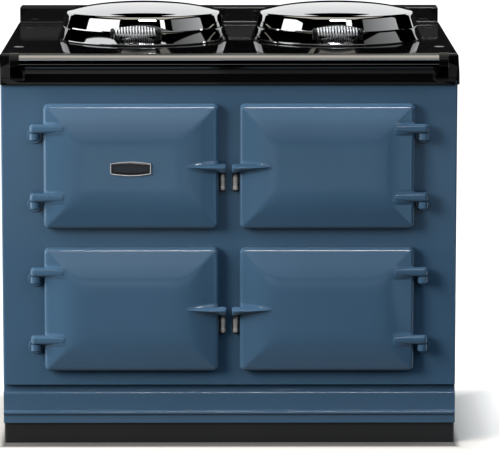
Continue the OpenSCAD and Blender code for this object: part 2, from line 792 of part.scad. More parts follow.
// The pan on the inside of a door, which plugs the mouth of the oven.
module liner(side, mid_z) color("#b4b6b8") translate([0, 0, mid_z]) on_side(side) {
    wall = 1.5;
    round_r = 10;
    depth = door_stand_off + plug_depth;
    at_mouth(1, 0, door_back) rotate([-90, 0, 0]) difference() {
        hull() {
            linear_extrude(depth - round_r) rounded_rect(plug_w, plug_h, oven_r - 4, $fn = 32);
            for (a = [0:30:90]) let (inset = round_r * (1 - cos(a)))
                translate([0, 0, depth - round_r + round_r * sin(a) - eps]) linear_extrude(eps)
                    rounded_rect(plug_w - 2 * inset, plug_h - 2 * inset, oven_r - 4 - inset / 2, $fn = 32);
        }
        translate([0, 0, -1]) linear_extrude(depth - round_r + 1)
            rounded_rect(plug_w - 2 * wall, plug_h - 2 * wall, oven_r - 4 - wall);
    }
}

// The rope seal round the liner, between the door's back and the front plate.
module seal(side, mid_z) color("#c9c6bd") translate([0, 0, mid_z]) on_side(side) {
    inner_w = oven_w + 2 * seal_off;
    inner_h = oven_h + 2 * seal_off;
    at_mouth(1, 0, 0) backwards(door_back, door_stand_off - face_gap) difference() {
        rounded_rect(inner_w + 2 * seal_w, inner_h + 2 * seal_w, oven_r + seal_w);
        rounded_rect(inner_w, inner_h, oven_r);
    }
}

// A bare oval plate with bowed long edges and a raised rim, on the crown of the top left door.
module badge_plate() color("#c4c7ca") {
    width = 87;
    height = 31;
    bow_r = 260;
    plate_t = 3;
    rim = 2.5;
    sunk = 1;
    foot = door_back - door_rim - crown_rise - rest_gap;
    translate([-door_x, foot - plate_t, high_z - 2]) rotate([-90, 0, 0]) difference() {
        linear_extrude(plate_t) barrel(width, height, bow_r);
        translate([0, 0, -1]) linear_extrude(1 + sunk) barrel(width - 2 * rim, height - 2 * rim, bow_r);
    }
}

module barrel(w, h, r) {
    intersection() {
        square([w, h], center = true);
        translate([0, h / 2 - r]) circle(r, $fn = 720);
        translate([0, r - h / 2]) circle(r, $fn = 720);
    }
}

// ---- lids ----

rim_foot_r = lid_r;
rim_top_r = lid_r - rim_slope;
rim_inner_r = rim_top_r - 5;

// Radius of the rim's leaning outside at height z.
function rim_r_at(z) = rim_foot_r - (rim_foot_r - rim_top_r) * z / lid_rim_h;

module lid_rim(i) color("#5c5e61") at_lid(i) rotate_extrude() polygon([
    [rim_inner_r, lid_lift], [rim_r_at(lid_lift) - 1.5, lid_lift], [rim_r_at(lid_lift + 1.5), lid_lift + 1.5],
    [rim_r_at(lid_rim_h - 1.5), lid_rim_h - 1.5], [rim_r_at(lid_rim_h) - 1.5, lid_rim_h],
    [rim_inner_r, lid_rim_h]]);

// Outside of a lid's dome as (radius, height): a leaning side, a tight shoulder and a flat crown.
side_foot_r = rim_top_r + 1.5;
side_top_r = rim_top_r - 6.5;
shoulder_z = lid_h - 23;
crown_edge_r = side_top_r - 9;
crown_edge_z = lid_h - 16;
function shoulder_point(t) =
    let (a = [side_top_r, shoulder_z],
         b = [side_top_r - 2, crown_edge_z - 1],
         c = [crown_edge_r, crown_edge_z])
    (1 - t) * (1 - t) * a + 2 * t * (1 - t) * b + t * t * c;
function crown_point(t) =
    [crown_edge_r * (1 - t), crown_edge_z + (lid_h - crown_edge_z) * (1 - pow(1 - t, 2))];
dome_outline = concat([[side_foot_r, lid_rim_h], [side_foot_r, lid_rim_h + 2]],
    [for (t = [0:0.2:1]) shoulder_point(t)], [for (t = [0.1:0.15:1]) crown_point(t)], [[0, lid_h]]);

module lid_shell(i) color("#d5d7d9") at_lid(i) rotate_extrude() difference() {
    polygon(concat(dome_outline, [[0, lid_rim_h]]));
    polygon(concat([for (p = dome_outline) [max(p[0] - lid_t, 0), max(p[1] - lid_t, lid_rim_h - 1)]],
        [[0, lid_rim_h - 1]]));
}

module lid_liner(i) color("#b4b6b8") at_lid(i) {
    outer = rim_inner_r - rest_gap;
    foot = hotplate_proud + 2.5;
    wall = 2;
    rotate_extrude() polygon([[0, foot], [outer - 3, foot], [outer, foot + 3], [outer, lid_rim_h],
        [outer - wall, lid_rim_h], [outer - wall, foot + 3 + wall], [outer - 4, foot + wall + 1],
        [0, foot + wall + 1]]);
}

// What lies against a lid's rim is cut back to the rim's cone.
module rim_cone() {
    reach = lid_rim_h + 10;
    cylinder(r1 = rim_r_at(0) + rest_gap, r2 = rim_r_at(reach) + rest_gap, h = reach);
}

handle_turns = [left_handle_turn, right_handle_turn];
post_t = 13;
bar_r = 4.2;

module lid_handle_bar(i) color("#161617") at_lid(i) {
    foot_low = 6;
    foot_high = 22;
    eye_r = coil_end_r + 1;
    rotate([0, 0, handle_turns[i]]) translate([-coil_len / 2 - 1, -coil_y, coil_z]) rotate([0, 90, 0])
        cylinder(r = bar_r, h = coil_len + 2);
    difference() {
        rotate([0, 0, handle_turns[i]]) for (side = [-1, 1])
            translate([side * (coil_len / 2 + post_t / 2), 0, 0]) along_x(post_t) hull() {
                translate([-coil_y, coil_z]) circle(eye_r, $fn = 32);
                translate([-rim_foot_r + 4, foot_low]) square([24, foot_high - foot_low]);
            }
        rim_cone();
        // clear of the leaning side of the dome
        translate([0, 0, lid_rim_h]) cylinder(r = side_foot_r + face_gap, h = lid_h);
    }
}

// ---- the coil grips ----

rings_per_turn = 8;
ring_sides = 6;
lead_steps = 3;

// Centre line of the coil: x along the grip, then its angle round the grip, in degrees.
function coil_station(k, n) =
    let (lead = coil_wire + 1.5,
         body = coil_len - 2 * lead,
         tail = k > n + lead_steps,
         m = tail ? n + 2 * lead_steps - k : k)
    m < lead_steps
        ? let (u = m / lead_steps, x = lead * u, a = 18 * u * u)
            tail ? [coil_len - x, coil_turns * 360 + 36 - a] : [x, a]
        : [lead + body * (k - lead_steps) / n, 18 + coil_turns * 360 * (k - lead_steps) / n];
function coil_radius(x) =
    coil_end_r - coil_wire / 2 + (coil_mid_r - coil_end_r) * sin(180 * x / coil_len);
function coil_path() =
    let (n = coil_turns * rings_per_turn)
    [for (k = [0:n + 2 * lead_steps])
        let (s = coil_station(k, n), r = coil_radius(s[0]))
        [s[0], r * cos(s[1]), r * sin(s[1])]];
function unit(v) = v / norm(v);
function ring_points(path, k) =
    let (last = len(path) - 1,
         p = path[k],
         ahead = k == 0 || k == last ? [1, 0, 0] : unit(path[k + 1] - path[k - 1]),
         out0 = [0, p[1], p[2]],
         out = unit(out0 - (out0 * ahead) * ahead),
         side = cross(ahead, out))
    [for (j = [0:ring_sides - 1]) let (a = 360 * j / ring_sides)
        p + coil_wire / 2 * (cos(a) * out + sin(a) * side)];

module tube(path) {
    rings = len(path);
    points = [for (k = [0:rings - 1]) each ring_points(path, k)];
    sides = [for (k = [0:rings - 2]) for (j = [0:ring_sides - 1])
        let (a = k * ring_sides + j, b = k * ring_sides + (j + 1) % ring_sides)
        each [[a, b, b + ring_sides], [a, b + ring_sides, a + ring_sides]]];
    end = (rings - 1) * ring_sides;
    caps = [for (j = [1:ring_sides - 2]) each [[0, j + 1, j], [end, end + j, end + j + 1]]];
    polyhedron(points, concat(sides, caps));
}

coil_points = coil_path();
coil_least_gap = min([for (i = [0:len(coil_points) - 1])
    for (j = [i + rings_per_turn / 2 + 1:1:len(coil_points) - 1])
        norm(coil_points[i] - coil_points[j])]) - coil_wire;
echo(str("Least gap between the coil's turns: ", coil_least_gap, " mm"));

module lid_handle_coil(i) color("#d5d7d9") at_lid(i) rotate([0, 0, handle_turns[i]])
    translate([-coil_len / 2, -coil_y, coil_z]) tube(coil_points);

// ---- lid hinges ----

lid_pin_r = 5;
knuckle_r = 10;
knuckle_w = 44;
ear_t = 10;
ear_gap = 1.5;
lid_pin_half = knuckle_w / 2 + ear_gap + ear_t;
base_t = 5;

module lid_arm(i) color("#2b2c2e") at_lid(i) {
    strap_low = base_t + 2;
    strap_high = lid_rim_h - 5;
    difference() {
        along_x(knuckle_w) hull() {
            translate([lid_pivot_y, lid_pivot_z]) circle(knuckle_r, $fn = 32);
            translate([rim_top_r - 20, strap_low]) square([22, strap_high - strap_low]);
        }
        rim_cone();
        translate([0, 0, lid_rim_h]) cylinder(r = side_foot_r + face_gap, h = lid_h);
        translate([-knuckle_w, lid_pivot_y, lid_pivot_z]) rotate([0, 90, 0])
            cylinder(r = lid_pin_r + running_gap, h = 2 * knuckle_w);
    }
}

module lid_hinge_bases() color("#161617") {
    depth = 36;
    for (i = [0, 1]) at_lid(i) difference() {
        union() {
            translate([0, lid_pivot_y, 0]) linear_extrude(base_t)
                rounded_rect(2 * lid_pin_half + 24, depth, 8);
            for (side = [-1, 1]) translate([side * (lid_pin_half - ear_t / 2), 0, 0]) along_x(ear_t) hull() {
                translate([lid_pivot_y, lid_pivot_z]) circle(knuckle_r + 1, $fn = 32);
                translate([lid_pivot_y - depth / 2 + 3, 0]) square([depth - 6, base_t]);
            }
        }
        translate([-2 * lid_pin_half, lid_pivot_y, lid_pivot_z]) rotate([0, 90, 0])
            cylinder(r = lid_pin_r + seat_gap, h = 4 * lid_pin_half);
    }
}

// ---- the assembly ----

plinth();
lower_rail();
front_plate();
side_panel(-1);  // side_panel_left
side_panel(1);  // side_panel_right
back_panel();
hinge_lugs();
pivot_pins();
catch_brackets();
top_plate();
upstand();
plate_plugs();
handrail();
rail_brackets();
hotplate(0);  // hotplate_left
hotplate(1);  // hotplate_right
lid_hinge_bases();
oven(1, high_z);  // roasting_oven
oven(-1, low_z);  // baking_oven
oven(1, low_z);  // simmering_oven
oven_shelves();
control_box();
control_panel();
heating_elements();
insulation();
vent_spigot();
cable_gland();
door(-1, high_z);  // door_top_left
door(1, high_z);  // door_top_right
door(-1, low_z);  // door_low_left
door(1, low_z);  // door_low_right
liner(-1, high_z);  // liner_top_left
liner(1, high_z);  // liner_top_right
liner(-1, low_z);  // liner_low_left
liner(1, low_z);  // liner_low_right
seal(-1, high_z);  // seal_top_left
seal(1, high_z);  // seal_top_right
seal(-1, low_z);  // seal_low_left
seal(1, low_z);  // seal_low_right
badge_plate();
roller(-1, high_z);  // roller_top_left
roller(1, high_z);  // roller_top_right
roller(-1, low_z);  // roller_low_left
roller(1, low_z);  // roller_low_right
knob(0);  // knob_left_plate
knob(1);  // knob_ovens
knob(2);  // knob_right_plate
lid_shell(0);  // lid_shell_left
lid_shell(1);  // lid_shell_right
lid_rim(0);  // lid_rim_left
lid_rim(1);  // lid_rim_right
lid_liner(0);  // lid_liner_left
lid_liner(1);  // lid_liner_right
lid_handle_bar(0);  // lid_handle_bar_left
lid_handle_bar(1);  // lid_handle_bar_right
lid_handle_coil(0);  // lid_handle_coil_left
lid_handle_coil(1);  // lid_handle_coil_right
lid_arm(0);  // lid_arm_left
lid_arm(1);  // lid_arm_right
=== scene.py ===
"""Dresses a packed range cooker: enamelled doors, polished lids, coil grips and cast finishes.

The cooker's sizes are millimetres and the studio's metres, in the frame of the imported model.
"""

import json
import math

import bmesh
import bpy
from bpy.props import FloatProperty, FloatVectorProperty, IntProperty, PointerProperty
from mathutils import Matrix, Vector


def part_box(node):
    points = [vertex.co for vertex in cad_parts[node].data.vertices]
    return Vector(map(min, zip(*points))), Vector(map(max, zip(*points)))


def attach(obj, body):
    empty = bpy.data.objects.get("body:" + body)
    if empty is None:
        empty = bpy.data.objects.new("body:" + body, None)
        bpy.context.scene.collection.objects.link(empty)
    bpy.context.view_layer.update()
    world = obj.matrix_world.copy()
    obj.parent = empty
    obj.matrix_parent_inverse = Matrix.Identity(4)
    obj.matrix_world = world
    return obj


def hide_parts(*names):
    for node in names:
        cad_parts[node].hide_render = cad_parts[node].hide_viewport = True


bl_info = {
    "name": "Range cooker",
    "version": (1, 0, 0),
    "blender": (4, 5, 0),
    "location": "View3D > Sidebar > Cooker",
    "description": "Builds the doors, lids, grips and finishes of a heat-storage range cooker",
    "category": "Object",
}

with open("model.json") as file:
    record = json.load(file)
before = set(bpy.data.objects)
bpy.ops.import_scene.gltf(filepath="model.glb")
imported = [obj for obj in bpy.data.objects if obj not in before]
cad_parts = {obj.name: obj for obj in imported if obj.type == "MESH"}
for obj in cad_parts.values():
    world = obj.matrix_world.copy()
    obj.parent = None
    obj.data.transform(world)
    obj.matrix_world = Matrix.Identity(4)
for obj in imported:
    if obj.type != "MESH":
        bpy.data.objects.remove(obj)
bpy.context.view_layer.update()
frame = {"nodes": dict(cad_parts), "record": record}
MM = 0.001
SIDES = {"left": -1, "right": 1}
# faces that meet at less than FLAT count as one, and edges sharper than SHARP are rounded
FLAT, SHARP = math.radians(0.5), math.radians(30)


# ---- sizes and colours that a user would change ----


def length(text, default, low=0.0, high=2000.0):
    return FloatProperty(description=text, default=default, min=low, max=high, precision=2)


def number(text, default, low, high):
    return IntProperty(description=text, default=default, min=low, max=high)


def tint(text, default):
    return FloatVectorProperty(description=text, default=default, subtype="COLOR",
                               size=3, min=0, max=2)


class CookerDoorSizes(bpy.types.PropertyGroup):
    """Sizes of the four oven doors."""

    width: length("Width of a door, mm", 375.0)
    height: length("Height of a door, mm", 270.0)
    inner_edge: length("From the cooker's middle to a door's handle edge, mm", 22.5)
    back: length("Place of a door's back in front of the middle, mm", 344.0)
    wall: length("Straight part of a door's edge, mm", 13.0)
    rim_reach: length("Radius of the rounded rim across the face, mm", 11.0)
    rim_rise: length("Height of the rounded rim, mm", 10.0)
    corner: length("Corner radius in plan, mm", 12.0)
    slope_width: length("Width of the even slope round a door's face, mm", 30.0)
    crown: length("Height of the face's middle, mm", 37.0)
    fade: length("Width over which the slopes ease into the middle, mm", 75.0)
    easing: length("How fast the slopes ease, as a power", 1.5, 1.0, 4.0)
    cell: length("Spacing of the mesh lines on a door's face, mm", 2.6, 1.0, 20.0)
    high_row: length("Height of the upper doors' middles, mm", 610.0)
    low_row: length("Height of the lower doors' middles, mm", 300.0)


class CookerLidSizes(bpy.types.PropertyGroup):
    """Sizes of the two lids and their grips."""

    steps: number("Steps of a turned piece", 160, 24, 360)
    wire: length("Diameter of the grip's wire, mm", 3.7)
    turns: number("Turns of the coil grip", 14, 4, 30)
    grip: length("Length of the coil grip, mm", 94.0)
    grip_end: length("Radius of the coil at its ends, mm", 9.0)
    grip_middle: length("Radius of the coil at its middle, mm", 13.0)


class CookerColours(bpy.types.PropertyGroup):
    """Colours of the finishes, as linear values."""

    enamel: tint("Slate blue vitreous enamel", (0.044, 0.092, 0.150))
    black: tint("Black vitreous enamel of the top", (0.0022, 0.0022, 0.0025))
    plinth: tint("Satin black of the plinth", (0.0078, 0.0078, 0.0080))
    chrome: tint("Polished lids and rail", (0.61, 0.62, 0.63))
    steel: tint("Steel pins, rollers and shelves", (0.46, 0.44, 0.42))
    iron: tint("Bare cast iron", (0.052, 0.052, 0.054))
    rope: tint("Braided seal", (0.52, 0.49, 0.44))


class CookerStage(bpy.types.PropertyGroup):
    """Camera and light of the studio."""

    distance: length("From the camera to the cooker's middle, m", 7.6736, 1.0, 30.0)
    eye: length("Height of the camera, m", 1.6385, 0.0, 10.0)
    lens: length("Focal length on a 36 mm sensor, mm", 248.64, 10.0, 600.0)
    tilt: length("Downward tilt of the camera, radians", 0.1432, 0.0, 1.5)
    daylight: length("Level of the light from all round", 0.32, 0.0, 2.0)
    sky: tint("Cool tint of the light from all round", (0.72, 0.98, 1.22))


# ---- helpers for meshes ----


def as_object(mesh, name, material=None):
    """Makes an object of a bmesh, which is then spent."""
    data = bpy.data.meshes.new(name)
    mesh.to_mesh(data)
    mesh.free()
    piece = bpy.data.objects.new(name, data)
    bpy.context.scene.collection.objects.link(piece)
    if material:
        data.materials.append(material)
    return piece


def finish_piece(mesh, name, body, finish, stands_for=(), even=False):
    """Turns a bmesh in millimetres into a piece that rides on a body of the cooker."""
    bmesh.ops.remove_doubles(mesh, verts=mesh.verts, dist=1e-4)
    bmesh.ops.recalc_face_normals(mesh, faces=mesh.faces)
    bmesh.ops.scale(mesh, verts=mesh.verts, vec=(MM,) * 3)
    for face in mesh.faces:
        face.smooth = True
    piece = as_object(mesh, name, FINISHES[finish])
    if even:
        shading = piece.modifiers.new("Even shading", "WEIGHTED_NORMAL")
        shading.keep_sharp = True
    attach(piece, body)
    if stands_for:
        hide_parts(*stands_for)


def eased_copy(node, body, finish, ease):
    """Copies a packed casting with its sharp edges rounded, as a cast or pressed piece has them."""
    mesh = bmesh.new()
    mesh.from_mesh(frame["nodes"][node].data)
    bmesh.ops.remove_doubles(mesh, verts=mesh.verts, dist=2e-6)
    bmesh.ops.dissolve_limit(mesh, angle_limit=FLAT, verts=mesh.verts, edges=mesh.edges)
    edges = [e for e in mesh.edges if e.is_manifold and e.calc_face_angle(0) > SHARP]
    bmesh.ops.bevel(mesh, geom=edges, offset=ease * MM, offset_type="OFFSET", segments=3,
                    profile=0.5, affect="EDGES", clamp_overlap=True, material=-1)
    bmesh.ops.scale(mesh, verts=mesh.verts, vec=(1 / MM,) * 3)
    finish_piece(mesh, "eased_" + node, body, finish, [node], even=True)


def turned(mesh, outline, steps, centre, axis="Z"):
    """Spins an outline of (radius, height) points about an upright axis, or one along X."""
    before = set(mesh.verts)
    verts = [mesh.verts.new((r, 0, h)) for r, h in outline]
    edges = [mesh.edges.new(pair) for pair in zip(verts, verts[1:])]
    bmesh.ops.spin(mesh, geom=verts + edges, cent=(0, 0, 0), axis=(0, 0, 1), angle=2 * math.pi,
                   steps=steps, use_merge=True, dvec=(0, 0, 0))
    made = [v for v in mesh.verts if v not in before]
    bmesh.ops.remove_doubles(mesh, verts=made, dist=1e-3)
    made = [v for v in mesh.verts if v not in before]
    turn = Matrix.Rotation(math.pi / 2, 4, "Y") if axis == "X" else Matrix()
    bmesh.ops.transform(mesh, matrix=Matrix.Translation(centre) @ turn, verts=made)


def lofted(mesh, sections):
    """A bar drawn through box sections, each (x, z low, z high, y front, y back)."""
    x, low, high, front, back = sections[0]
    places = (front, low), (front, high), (back, high), (back, low)
    end = mesh.faces.new([mesh.verts.new((x, y, z)) for y, z in places])
    for x, low, high, front, back in sections[1:]:
        grown = bmesh.ops.extrude_face_region(mesh, geom=[end])["geom"]
        end = next(g for g in grown if isinstance(g, bmesh.types.BMFace))
        middle = end.calc_center_median()
        for v in end.verts:
            v.co = (x, front if v.co.y < middle.y else back, low if v.co.z < middle.z else high)


def ring_of(mesh, places):
    """The edges of a closed ring through places."""
    verts = [mesh.verts.new(place) for place in places]
    return [mesh.edges.new(pair) for pair in zip(verts, verts[1:] + verts[:1])]


def skinned(mesh, rings):
    """Bridges each ring with the next."""
    for first, second in zip(rings, rings[1:]):
        bmesh.ops.bridge_loops(mesh, edges=first + second)


def closed(mesh):
    """Fills the holes that are left."""
    bmesh.ops.holes_fill(mesh, edges=[e for e in mesh.edges if e.is_boundary], sides=0)


def mirrored(mesh, side):
    """Turns what was drawn for the right-hand side round for the left-hand one."""
    if side < 0:
        bmesh.ops.scale(mesh, verts=mesh.verts, vec=(-1, 1, 1))
        bmesh.ops.reverse_faces(mesh, faces=mesh.faces)


# ---- materials ----


class Tone:
    """A socket of a finish, so that masks and patterns can be written as sums."""

    def __init__(self, finish, socket):
        self.finish, self.socket = finish, socket

    def _sum(self, operation, other=0.0):
        return self.finish.node("Math", {"operation": operation}, {0: self, 1: other})

    def __add__(self, other):
        return self._sum("ADD", other)

    def __sub__(self, other):
        return self._sum("SUBTRACT", other)

    def __mul__(self, other):
        return self._sum("MULTIPLY", other)

    def __abs__(self):
        return self._sum("ABSOLUTE")

    def most(self, other):
        return self._sum("MAXIMUM", other)


class Tree:
    """Nodes of a material or of the world."""

    def __init__(self, owner):
        owner.use_nodes = True
        self.tree = owner.node_tree

    def node(self, kind, settings=None, inputs=None, output=0):
        made = self.tree.nodes.new("ShaderNode" + kind)
        for key, value in (settings or {}).items():
            if key == "stops":
                ramp = made.color_ramp
                while len(ramp.elements) < len(value):
                    ramp.elements.new(1.0)
                for element, (place, shade) in zip(ramp.elements, value):
                    element.position, element.color = place, (shade, shade, shade, 1)
            else:
                setattr(made, key, value)
        for key, value in (inputs or {}).items():
            self.feed(made.inputs[key], value)
        return Tone(self, made.outputs[output])

    def feed(self, socket, value):
        if isinstance(value, Tone):
            self.tree.links.new(value.socket, socket)
        elif socket.type == "RGBA" and len(value) == 3:
            socket.default_value = (*value, 1)
        else:
            socket.default_value = value

    def ramp(self, value, *stops):
        return self.node("ValToRGB", {"stops": stops}, {0: value})

    def blend(self, share, first, second):
        return self.node("Mix", {"data_type": "RGBA"}, {0: share, 6: first, 7: second}, 2)

    def seen(self):
        """1 where the camera, a reflection or a clear pane shows it, 0 where it only lights."""
        rays = [self.node("LightPath", output=name)
                for name in ("Is Camera Ray", "Is Glossy Ray", "Is Transmission Ray")]
        return rays[0] + rays[1] + rays[2]


class Finish(Tree):
    """A material with one Principled shader, built up from nodes."""

    def __init__(self, name, **fixed):
        self.material = bpy.data.materials.new(name)
        super().__init__(self.material)
        self.shader = self.tree.nodes["Principled BSDF"]
        self.set(**fixed)

    def set(self, **sockets):
        for key, value in sockets.items():
            name = key.replace("_", " ").title().replace("Ior", "IOR")
            self.feed(self.shader.inputs[name], value)

    def coat(self, share, colour, dark, light):
        """Base colour between a darker and a lighter shade of a colour."""
        self.set(Base_Color=self.blend(share, shade(colour, dark), shade(colour, light)))

    def place(self, scale=(1, 1, 1)):
        """Where a point of the piece lies, in metres, stretched by scale."""
        at = self.node("TexCoord", output=3)
        if tuple(scale) == (1, 1, 1):
            return at
        return self.node("Mapping", None, {"Vector": at, "Scale": scale})

    def along(self, axis):
        """Where a point of the piece lies along one axis, in metres."""
        return self.node("SeparateXYZ", None, {0: self.place()}, axis)

    def cloud(self, scale, detail=3.0, rough=0.5, at=None):
        return self.node("TexNoise", None, {"Vector": at or self.place(), "Scale": scale,
                                                      "Detail": detail, "Roughness": rough})

    def bump(self, height, depth, strength=1.0):
        self.set(Normal=self.node("Bump", None, {"Height": height, "Distance": depth,
                                                           "Strength": strength}))


def shade(colour, factor):
    return tuple(min(1.0, c * factor) for c in colour)


def enamel(name, colour, rough, ripple):
    """Vitreous enamel: a deep gloss with the faint ripple of a fired coat and darker pin marks."""
    finish = Finish(name, Metallic=0.0)
    clouds = finish.cloud(3.5, 4.0)
    grain = finish.ramp(finish.cloud(900.0, 2.0), (0.30, 0.0), (0.75, 1.0))
    tone = finish.ramp(clouds * 0.7 + grain * 0.3, (0.25, 0.0), (0.75, 1.0))
    finish.coat(tone, colour, 0.90, 1.10)
    finish.set(Roughness=finish.cloud(14.0, 3.0) * 0.04 + rough)
    finish.bump(finish.cloud(160.0, 2.0) + finish.cloud(38.0, 1.0) * 2.0, ripple)
    return finish.material


def polish(name, colour, rough=0.012, metal=1.0):
    """Polished plate: a mirror with faint wiping marks that cross each other."""
    finish = Finish(name, Metallic=metal)
    wiped = finish.cloud(9.0, 5.0, 0.65, finish.place((1, 3, 1)))
    scratch = finish.cloud(60.0, 3.0, 0.7, finish.place((1, 14, 4)))
    lines = finish.ramp(scratch, (0.45, 0.0), (0.80, 1.0))
    finish.coat(wiped, colour, 0.96, 1.02)
    finish.set(Roughness=lines * 0.020 + wiped * 0.015 + rough)
    finish.bump(finish.cloud(7.0, 2.0), 0.0001, 0.5)
    return finish.material


def drawn(name, colour, along=(1, 60, 60), rough=0.28, metal=1.0):
    """Drawn or rolled metal, with fine lines that run along it."""
    finish = Finish(name, Metallic=metal)
    lines = finish.cloud(30.0, 4.0, 0.6, finish.place(along))
    stain = finish.cloud(11.0, 3.0)
    finish.coat(lines * 0.6 + stain * 0.4, colour, 0.72, 1.15)
    finish.set(Roughness=lines * 0.16 + rough)
    finish.bump(lines, 0.00008)
    return finish.material


def casting(name, colour, rough=0.55, grain=420.0, metal=0.3):
    """Sand-cast iron, with an even grain and a few shallow pits."""
    finish = Finish(name, Metallic=metal)
    sand = finish.cloud(grain, 4.0, 0.65)
    pits = finish.ramp(finish.cloud(70.0, 2.0), (0.28, 0.0), (0.40, 1.0))
    wear = finish.cloud(6.0, 4.0)
    finish.coat(wear * 0.6 + sand * 0.4, colour, 0.65, 1.4)
    finish.set(Roughness=finish.ramp(wear, (0.3, rough - 0.1), (0.7, rough + 0.12)))
    finish.bump(sand * 0.6 + pits, 0.00018)
    return finish.material


def satin(name, colour, rough=0.42):
    """Satin black paint over a fine casting."""
    finish = Finish(name, Metallic=0.0)
    dust = finish.cloud(5.0, 5.0)
    skin = finish.cloud(520.0, 2.0)
    finish.coat(dust, colour, 0.85, 1.2)
    finish.set(Roughness=dust * 0.10 + rough)
    finish.bump(skin, 0.00006)
    return finish.material


def zinc(name):
    """Galvanised sheet with its frosted spangle."""
    finish = Finish(name, Metallic=1.0)
    spangle = finish.node("TexVoronoi", {"feature": "F1"},
                          {"Vector": finish.place(), "Scale": 70.0}, 1)
    flakes = finish.node("SeparateColor", None, {0: spangle})
    finish.set(Base_Color=finish.blend(flakes, (0.30, 0.31, 0.32), (0.50, 0.51, 0.52)))
    finish.set(Roughness=flakes * 0.22 + 0.34)
    finish.bump(flakes, 0.00004)
    return finish.material


def braid(name, colour):
    """Braided mineral rope: two sets of strands that cross."""
    finish = Finish(name, Metallic=0.0, Roughness=0.95)
    bands = {"wave_type": "BANDS", "bands_direction": "DIAGONAL"}
    one, two = (finish.node("TexWave", bands,
                            {"Vector": finish.place((way, 1, 1)), "Scale": 95.0,
                             "Distortion": 1.0, "Detail": 1.0}, 1) for way in (1, -1))
    strands = one.most(two)
    fibre = finish.cloud(1200.0, 2.0)
    finish.coat(strands * 0.7 + fibre * 0.3, colour, 0.45, 1.1)
    finish.bump(strands + fibre * 0.3, 0.0008)
    return finish.material


def moulded(name, colour, rough=0.45):
    """Moulded plastic with a spark-eroded grain."""
    finish = Finish(name, Metallic=0.0)
    grain = finish.cloud(1500.0, 2.0)
    finish.coat(finish.cloud(4.0), colour, 0.9, 1.15)
    finish.set(Roughness=grain * 0.1 + rough)
    finish.bump(grain, 0.00003)
    return finish.material


FINISHES = {}


def mix_finishes():
    colours = bpy.context.scene.cooker_colours
    FINISHES.update(
        blue_enamel=enamel("Slate blue enamel", colours.enamel, 0.10, 0.000010),
        # the doors' enamel is the blue enamel made a little lighter: painted light, so the door
        # faces read brighter than the front plate
        door_enamel=enamel("Door enamel, painted lighter", shade(colours.enamel, 1.03), 0.10, 0.000010),
        black_enamel=enamel("Black enamel", colours.black, 0.025, 0.000006),
        black_satin=satin("Satin black", colours.plinth),
        chrome=polish("Polished chrome", colours.chrome),
        rim_chrome=polish("Lid rim chrome", shade(colours.chrome, 0.55), 0.04),
        # the wire is a lighter, less metallic copy of the chrome: painted brightness that stands in
        # for its bright reflections
        coil_chrome=polish("Coil wire chrome, painted bright", shade(colours.chrome, 1.5), 0.10, 0.6),
        steel=drawn("Bright steel", colours.steel),
        roller_steel=drawn("Turned roller steel", (0.40, 0.38, 0.35), (30, 30, 900), 0.30, 0.35),
        plate_field=enamel("Plate field", (0.012, 0.012, 0.013), 0.12, 0.000004),
        plate_rim=drawn("Plate rim", (0.52, 0.51, 0.50), (1, 30, 30), 0.22, 0.3),
        liner_metal=drawn("Spun liner", (0.58, 0.59, 0.60), (3, 40, 3), 0.34),
        cheek_black=satin("Catch cheek black", (0.002, 0.002, 0.002), 0.5),
        black_iron=satin("Black cast iron", (0.0035, 0.0035, 0.0038), 0.30),
        machined_iron=casting("Machined hotplate", (0.11, 0.11, 0.115), 0.38, 700.0, 0.75),
        oven_iron=casting("Oven casting", colours.iron),
        galvanised=zinc("Galvanised sheet"),
        panel_enamel=satin("Panel enamel", (0.020, 0.021, 0.023), 0.35),
        knob_metal=drawn("Satin knob", (0.62, 0.62, 0.61), (60, 60, 1), 0.26),
        element_sheath=casting("Element sheath", (0.09, 0.075, 0.065), 0.5, 500.0, 0.8),
        wool=braid("Loose fill", (0.68, 0.62, 0.45)),
        rope=braid("Braided rope", colours.rope),
        black_plastic=moulded("Black nylon", (0.012, 0.012, 0.013)),
    )
# ---- doors ----


# the arms' levels from a door's middle, and their ends as (x, y, radius)
ARM_LEVELS = (82.0, -66.0)
ARM_HALF = 10.0
PIVOT = (416.0, -362.0, 11.0)
ARM_NOSE = (357.0, -369.5, 8.0)
# an arm's foot and top at its pivot and at its nose, from its level, and its edges' radius
ARM_ENDS = ((-10.0, 10.0), (-8.6, 10.0))
ARM_ROUND = 6.6
# the rim's arc in degrees, the mesh lines on it, and the inset where the slope runs evenly
RIM_TURN = 66.0
RIM_STEPS = range(0, 67, 11)
EASED_TO = 11.0
# rounding of the hips where two slopes meet: least, growth with the inset, and most
HIP_LEAST, HIP_GROWTH, HIP_MOST = 0.15, 0.04, 2.4
# reach and flatness of the fillet round the arms and the handle
FILLET, FILLET_FLAT = 5.0, 1.6
HANDLE_CREASE = 0.55
# steps of the modifier that rounds handles and posts
ROUNDING = 3

